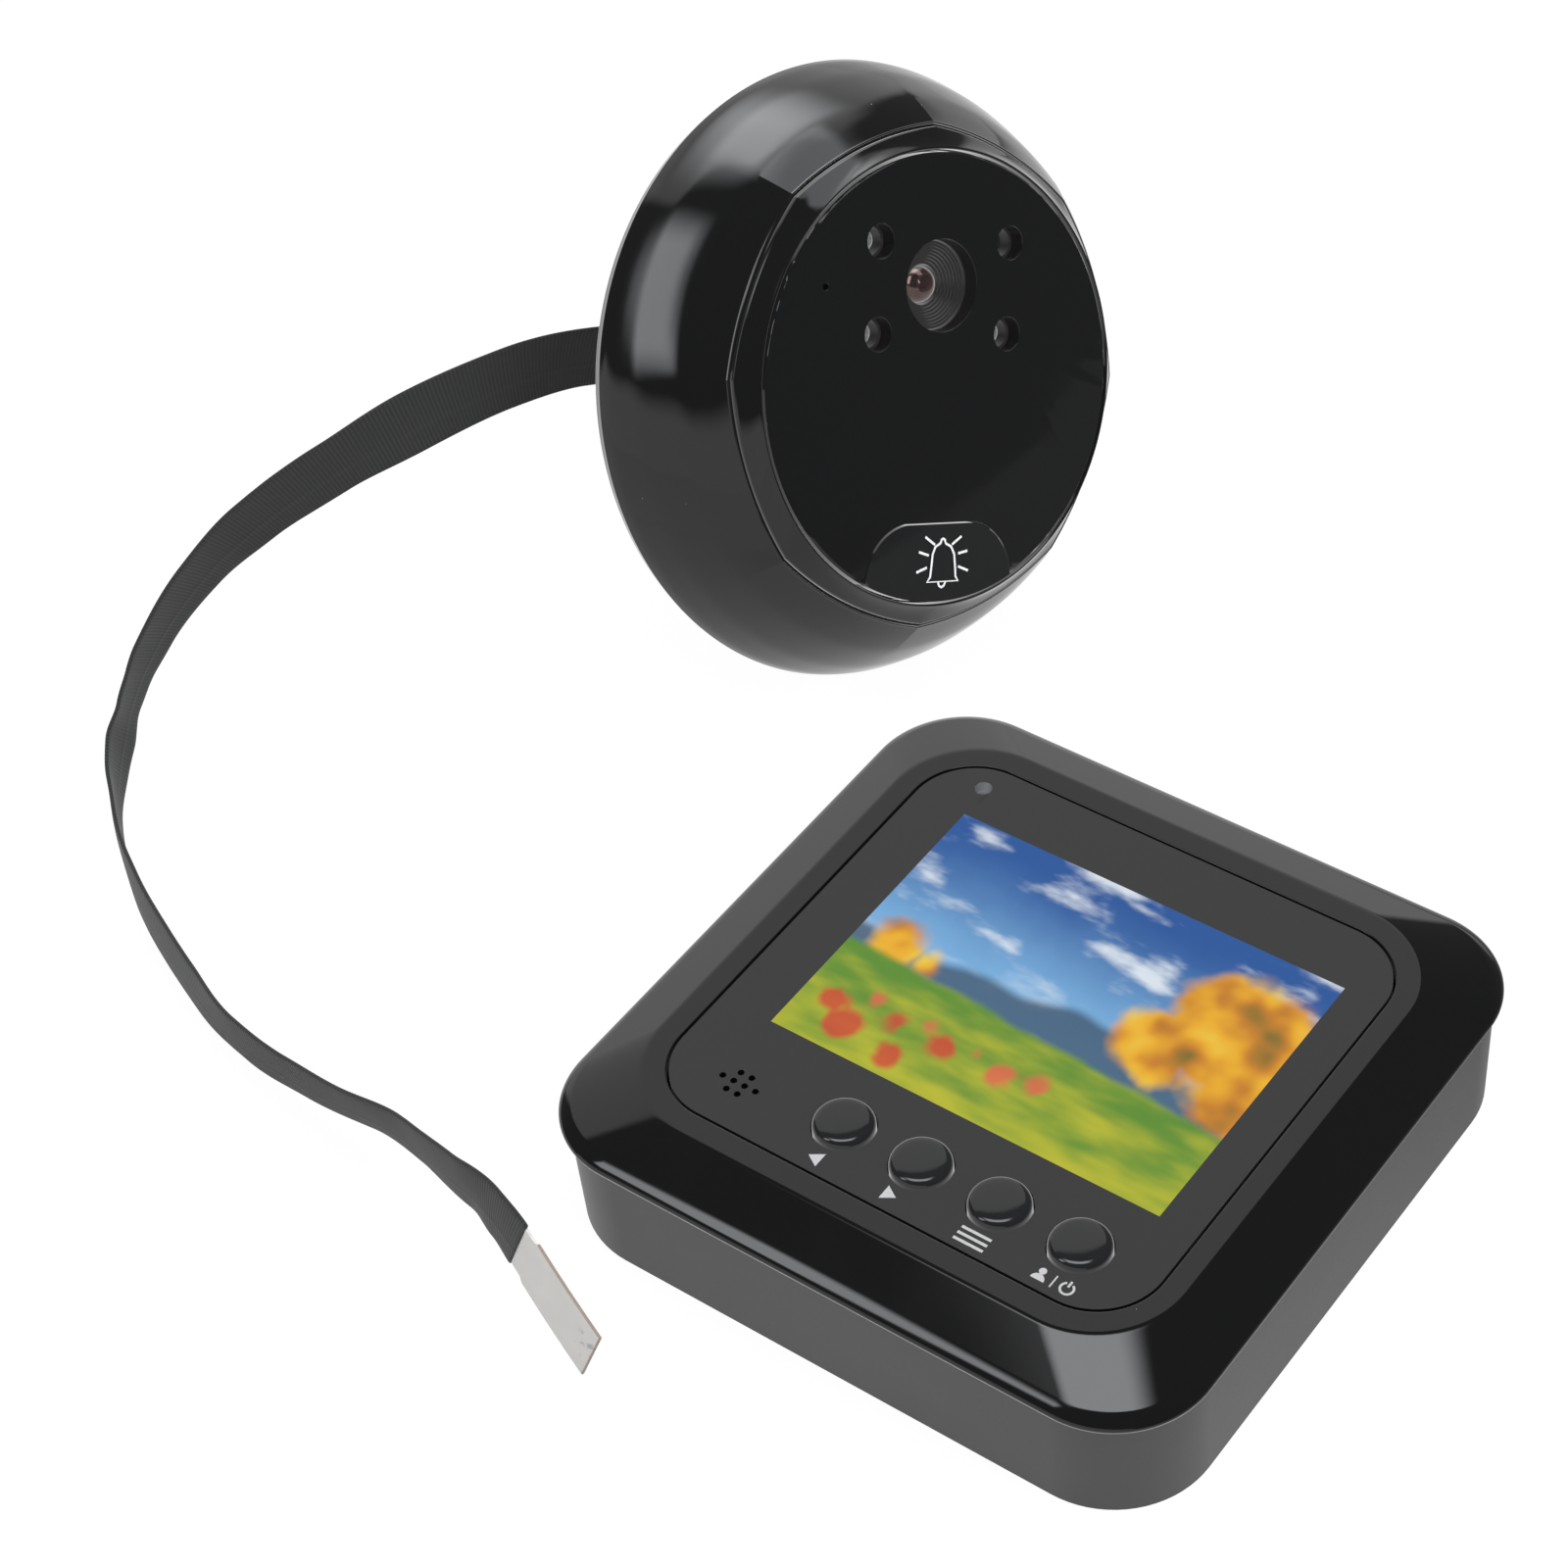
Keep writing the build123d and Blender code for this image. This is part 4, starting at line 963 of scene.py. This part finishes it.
# all on top of the sheet, in mm; the small signs' own parts are measured from their middles
symbolShape = {
    "low": 18.79, "top": 18.83, "stroke": 0.26,
    "left": [(-9.21, -27.81), (-7.69, -26.83), (-7.7, -28.74)],
    "right": [(1.71, -27.62), (0.19, -28.56), (0.18, -26.66)],
    "menu": (11.24, -27.75), "menuWidth": 3.6, "menuPitch": 0.8, "menuBar": 0.34,
    "user": (19.5, -27.74), "head": (0.45, 0.42), "shoulders": (-0.75, 0.8),
    "power": (22.7, -27.74), "powerRing": (-0.08, 0.72), "powerBar": (0.92, 0.12),
    "divider": (-1.62, 0.75, -0.85), "dividerShare": 0.7,
}


def cutShape(points, low, top):
    # a flat outline with a little thickness, sunk into the sheet that carries it
    bpy.ops.mesh.primitive_circle_add(vertices=len(points), radius=1, fill_type="NGON")
    shape = bpy.context.active_object
    for vert, (x, y) in zip(shape.data.vertices, points):
        vert.co = (x * mm, y * mm, low * mm)
    edit(shape)
    bpy.ops.mesh.extrude_region_move(TRANSFORM_OT_translate={"value": (0, 0, (top - low) * mm)})
    bpy.ops.mesh.select_all(action="SELECT")
    bpy.ops.mesh.normals_make_consistent(inside=False)
    return endEdit()


def around(x, y, radius, start, end, count):
    # points on an arc, angles in degrees from +X
    turns = [math.radians(start + (end - start) * k / count) for k in range(count + 1)]
    return [(x + radius * math.cos(t), y + radius * math.sin(t)) for t in turns]


def makeSymbols():
    shape = symbolShape
    deep = (shape["low"], shape["top"])
    outlines = [shape["left"], shape["right"]]
    x, y = shape["menu"]
    half, bar = shape["menuWidth"] / 2, shape["menuBar"] / 2
    for at in (y - shape["menuPitch"], y, y + shape["menuPitch"]):
        outlines.append([(x - half, at - bar), (x + half, at - bar), (x + half, at + bar), (x - half, at + bar)])
    x, y = shape["user"]
    outlines.append(around(x, y + shape["head"][0], shape["head"][1], 0, 350, 20))
    outlines.append(around(x, y + shape["shoulders"][0], shape["shoulders"][1], 0, 180, 14))
    parts = [cutShape(outline, *deep) for outline in outlines]
    x, y = shape["power"]
    ring = around(x, y + shape["powerRing"][0], shape["powerRing"][1], 120, 420, 24)
    parts.append(stroke(ring, False, shape["stroke"], *deep))
    parts.append(stroke([(x, y + end) for end in shape["powerBar"]], False, shape["stroke"], *deep))
    aside, *ends = shape["divider"]
    thin = shape["stroke"] * shape["dividerShare"]
    parts.append(stroke([(x + aside, y + end) for end in ends], False, thin, *deep))
    settle(joinAll(parts), "buttonSymbols", greyInk)


makeButtons()
makeSymbols()
print("monitor front made")


# Every other part gets its finish

# slot: name, colour, roughness, metallic, and the scale and depth of the grain
plainStock = {
    "plated_steel": ("platedSteel", (0.56, 0.56, 0.57), 0.3, 1.0),
    "display_glass": ("displayGlass", (0.02, 0.02, 0.025), 0.08),
    "chip_black": ("chipBlack", (0.02, 0.02, 0.021), 0.55),
    "speaker_black": ("speakerBlack", (0.03, 0.03, 0.03), 0.4, 0.6),
    "lamp_clear": ("lampClear", (0.55, 0.56, 0.58), 0.15),
    "socket_cream": ("socketCream", (0.58, 0.54, 0.42), 0.45),
    "inner_black": ("trayBlack", (0.02, 0.02, 0.021), 0.5),
    "contact_nickel": ("contactNickel", (0.6, 0.58, 0.54), 0.25, 1.0),
    "screw_black": ("screwBlack", (0.05, 0.05, 0.052), 0.35, 0.9, 2500),
    "switch_black": ("switchBlack", (0.025, 0.025, 0.025), 0.45),
    "lens_glass": ("rearGlass", (0.05, 0.03, 0.04), 0.05),
    "sensor_dark": ("sensorDark", (0.03, 0.025, 0.05), 0.2),
    "insert_brass": ("insertBrass", (0.55, 0.38, 0.14), 0.3, 1.0),
    "rubber_black": ("rubberBlack", (0.02, 0.02, 0.02), 0.65, 0, 2600, 0.00004),
    "housing_gloss": ("coverBlack", (0.018, 0.018, 0.019), 0.3),
}
stockLook = {
    "sleeve": ((0.62, 0.64, 0.62, 1), (0.03, 0.2, 0.14, 1)), "sleeveBand": 14.0,
    "board": ((0.015, 0.1, 0.05, 1), (0.03, 0.2, 0.1, 1)), "tracks": 700,
    "foam": (0.012, 0.035), "foamCells": 2400.0,
}


def sleeveFinish():
    # a cell's printed wrapper, with a bare band
    material, spot = paint("cellSleeve", IOR=1.5)
    band = (spot.axis(1) * (1 / mm)).math("PINGPONG", stockLook["sleeveBand"]).ease(3.4, 3.7)
    feed(material, Base_Color=band.blend(*stockLook["sleeve"]), Roughness=spot.noise(400, 2) * 0.1 + 0.2)
    return material


def boardFinish():
    # solder mask with raised tracks
    material, spot = paint("boardGreen", IOR=1.5)
    tracks = spot.noise(stockLook["tracks"], 1, (1, 3, 1)).math("PINGPONG", 0.05).ease(0.02, 0.03)
    feed(material, Base_Color=tracks.blend(*stockLook["board"]), Roughness=tracks * 0.1 + 0.35,
         Normal=bumped(tracks, 0.00003, 0.4))
    return material


def foamFinish():
    # open cells
    material, spot = paint("foamBlack", Sheen_Weight=0.2)
    cells = spot.make("TexVoronoi", {"Vector": spot, "Scale": stockLook["foamCells"]})
    dark, light = stockLook["foam"]
    feed(material, Base_Color=cells.ease(0.1, 0.6).blend(grey(dark), grey(light)),
         Roughness=spot.noise(600, 2) * 0.1 + 0.85, Normal=bumped(cells, 0.00012, 0.7))
    return material


def dressNodes():
    finishes = {slotName: plainFinish(*row) for slotName, row in plainStock.items()}
    finishes.update(cell_sleeve=sleeveFinish(), board_green=boardFinish(), foam_black=foamFinish())
    slots = {row["node"]: row["material_slot"] for row in frame["record"]["subparts"]}
    for name, node in nodes.items():
        if slots[name] in finishes and not node.hide_render:
            node.data.materials.clear()
            node.data.materials.append(finishes[slots[name]])


dressNodes()
print("other parts finished")


# Floor and studio light

studio = {
    "floorRadius": 0.46,
    "floorTone": 0.9,
    "floorGlow": 0.85,  # the share of white of its own, for the camera and in reflections
    "floorSeen": 1.12,  # how strong that white is for the camera
    # the reflected white fades past the unit's face: in which direction, between which distances, and by how much
    "dimWay": (0.9, 0.42), "dimRange": (0.02, 0.09), "dimShare": 0.8,
    "dark": 0.16,
    # the walls of the light tent: azimuth, elevation, half width and half height as slopes, softness, radiance
    "tent": {
        "backLeft": (140, 30, 0.62, 0.57, 0.07, 0.95),
        "frontLow": (268, -4, 1.25, 0.36, 0.1, 1.0),
        "backLow": (125, -10, 0.8, 0.3, 0.1, 0.85),
    },
    "boxColor": (0.95, 0.97, 1.0),
    # soft boxes: what they light, the middle they aim at, the directions of their two ends, width, softness, radiance
    "boxes": {
        "monitorCorner": ("monitor", (0, 0, 17), (234, 30), (234, 59), 0.26, 0.24, 4.4),
        "monitorAbove": ("monitor", (30, -30, 17), (222, 60), (45, 73), 0.44, 0.26, 5.4),
        "unitLeft": ("unit", (-53, 62, 50), (189, 59), (249, 19.5), 0.46, 0.27, 4.3),
        "unitTop": ("unit", (-53, 62, 50), (117, 26), (180, 64), 0.79, 0.42, 4.85),
        "unitSide": ("unit", (-53, 62, 50), (87, 49), (105, 79), 0.6, 0.16, 2.0),
        "unitFront": ("unit", (-53, 62, 50), (328, 36), (330, 64), 0.2, 0.3, 4.2),
        "frontFill": ("unit", (-53, 62, 50), (330, 20), (10, 20), 0.6, 0.1, 3.2),
        "topFill": ("all", (0, 0, 0), (310, 70), (130, 70), 1.4, 0.1, 0.9),
        "sideFill": ("all", (0, 0, 30), (335, 30), (40, 30), 0.9, 0.1, 2.3),
    },
    # a piece that starts left of the first and beyond the second is the unit's, in metres
    "leftOf": -0.04, "beyond": 0.02,
}


def makeFloor():
    bpy.ops.mesh.primitive_circle_add(vertices=96, radius=studio["floorRadius"], fill_type="NGON")
    floor = bpy.context.active_object
    floor.name = "floor"
    material, spot = paint("floorPaper", Roughness=0.9, Specular_IOR_Level=0.0)
    tone = studio["floorTone"]
    feed(material, Base_Color=spot.noise(3, 2).blend(grey(tone - 0.004), grey(tone)))
    seen = spot.make("LightPath", out=0)
    mirrored = spot.make("LightPath", out=3)
    right, ahead = studio["dimWay"]
    dim = (spot.axis(0) * right + spot.axis(1) * ahead).ease(*studio["dimRange"]) * studio["dimShare"]
    glow = spot.make("Emission", {"Strength": seen * studio["floorSeen"] + (1 - seen) * (1 - dim)})
    tree = material.node_tree
    mixed = spot.make("MixShader", {
        0: seen.math("MAXIMUM", mirrored) * studio["floorGlow"],
        1: Wire(tree, tree.nodes["Principled BSDF"].outputs[0]), 2: glow})
    tree.links.new(mixed.socket, tree.nodes["Material Output"].inputs["Surface"])
    floor.data.materials.append(material)


def direction(azimuth, elevation):
    az, el = math.radians(azimuth), math.radians(elevation)
    return Vector((math.cos(az) * math.cos(el), math.sin(az) * math.cos(el), math.sin(el)))


def makeWorld():
    world = bpy.data.worlds.new("studioWorld")
    bpy.context.scene.world = world
    world.use_nodes = True
    tree = world.node_tree
    start = Wire(tree)
    way = start.make("TexCoord", out=0)

    def toward(axis):
        return way.make("VectorMath", {0: way, 1: axis}, 1, operation="DOT_PRODUCT")

    walls = []
    for azimuth, elevation, halfWidth, halfHeight, soft, radiance in studio["tent"].values():
        middle = direction(azimuth, elevation)
        right = Vector((-middle.y, middle.x, 0)).normalized()
        ahead = toward(middle)
        beside = abs(toward(right) / ahead).ease(halfWidth + soft, halfWidth - soft)
        above = abs(toward(middle.cross(right)) / ahead).ease(halfHeight + soft, halfHeight - soft)
        walls.append(beside * above * (ahead > 0.05) * radiance)
    level = walls[0].math("MAXIMUM", studio["dark"])
    for wall in walls[1:]:
        level = level.math("MAXIMUM", wall)
    # the camera sees white, and the tent's walls light the part
    seen = start.make("LightPath", out=0)
    shown = seen + (1 - seen) * level
    tree.links.new(shown.socket, tree.nodes["Background"].inputs["Strength"])
    tree.nodes["Background"].inputs["Color"].default_value = (1, 1, 1, 1)


def softBox(name, lit, aim, start, end, width, soft, radiance, receivers):
    first, last = direction(*start), direction(*end)
    middle = (first + last).normalized()
    along = (last - first).normalized()
    across = middle.cross(along)
    # the ends lie on the plane at right angles to the middle direction, one metre away
    span = 2 * first.cross(middle).length / first.dot(middle)
    bpy.ops.object.light_add(type="AREA")
    lamp = bpy.context.active_object
    lamp.name = name
    turn = Matrix((along, across, along.cross(across))).transposed().to_4x4()
    lamp.matrix_world = Matrix.Translation(Vector(aim) * mm + middle) @ turn
    lamp.data.shape = "RECTANGLE"
    lamp.data.size, lamp.data.size_y = span, width
    lamp.data.energy = radiance * math.pi * span * width
    lamp.data.color = studio["boxColor"]
    lamp.data.use_nodes = True
    tree = lamp.data.node_tree
    spot = Wire(tree).make("NewGeometry", out=5)
    beside = abs(spot.axis(0) - 0.5).ease(0.5, 0.5 - soft)
    above = abs(spot.axis(1) - 0.5).ease(0.5, 0.5 - soft)
    tree.links.new((beside * above).socket, tree.nodes["Emission"].inputs["Strength"])
    # the fills light the prints and the satin parts, and no gloss mirrors them
    lamp.visible_glossy = not name.endswith("Fill")
    if lit != "all":
        lamp.light_linking.receiver_collection = receivers[lit]


def lightUp():
    # the monitor and the unit each have their own soft boxes, as each was lit when it was photographed
    receivers = {lit: bpy.data.collections.new(lit + "Lit") for lit in ("monitor", "unit")}
    for piece in bpy.context.scene.objects:
        if piece.type == "MESH" and piece.name != "floor":
            # the photographed monitor and unit don't mirror each other
            piece.visible_glossy = False
            if not piece.hide_render:
                left, near = (min(corner[axis] for corner in piece.bound_box) for axis in (0, 1))
                isUnit = left < studio["leftOf"] and near > studio["beyond"]
                receivers["unit" if isUnit else "monitor"].objects.link(piece)
    for name, row in studio["boxes"].items():
        softBox(name, *row, receivers)


makeFloor()
makeWorld()
lightUp()
bpy.context.scene.view_settings.view_transform = "Standard"
print("studio lit")
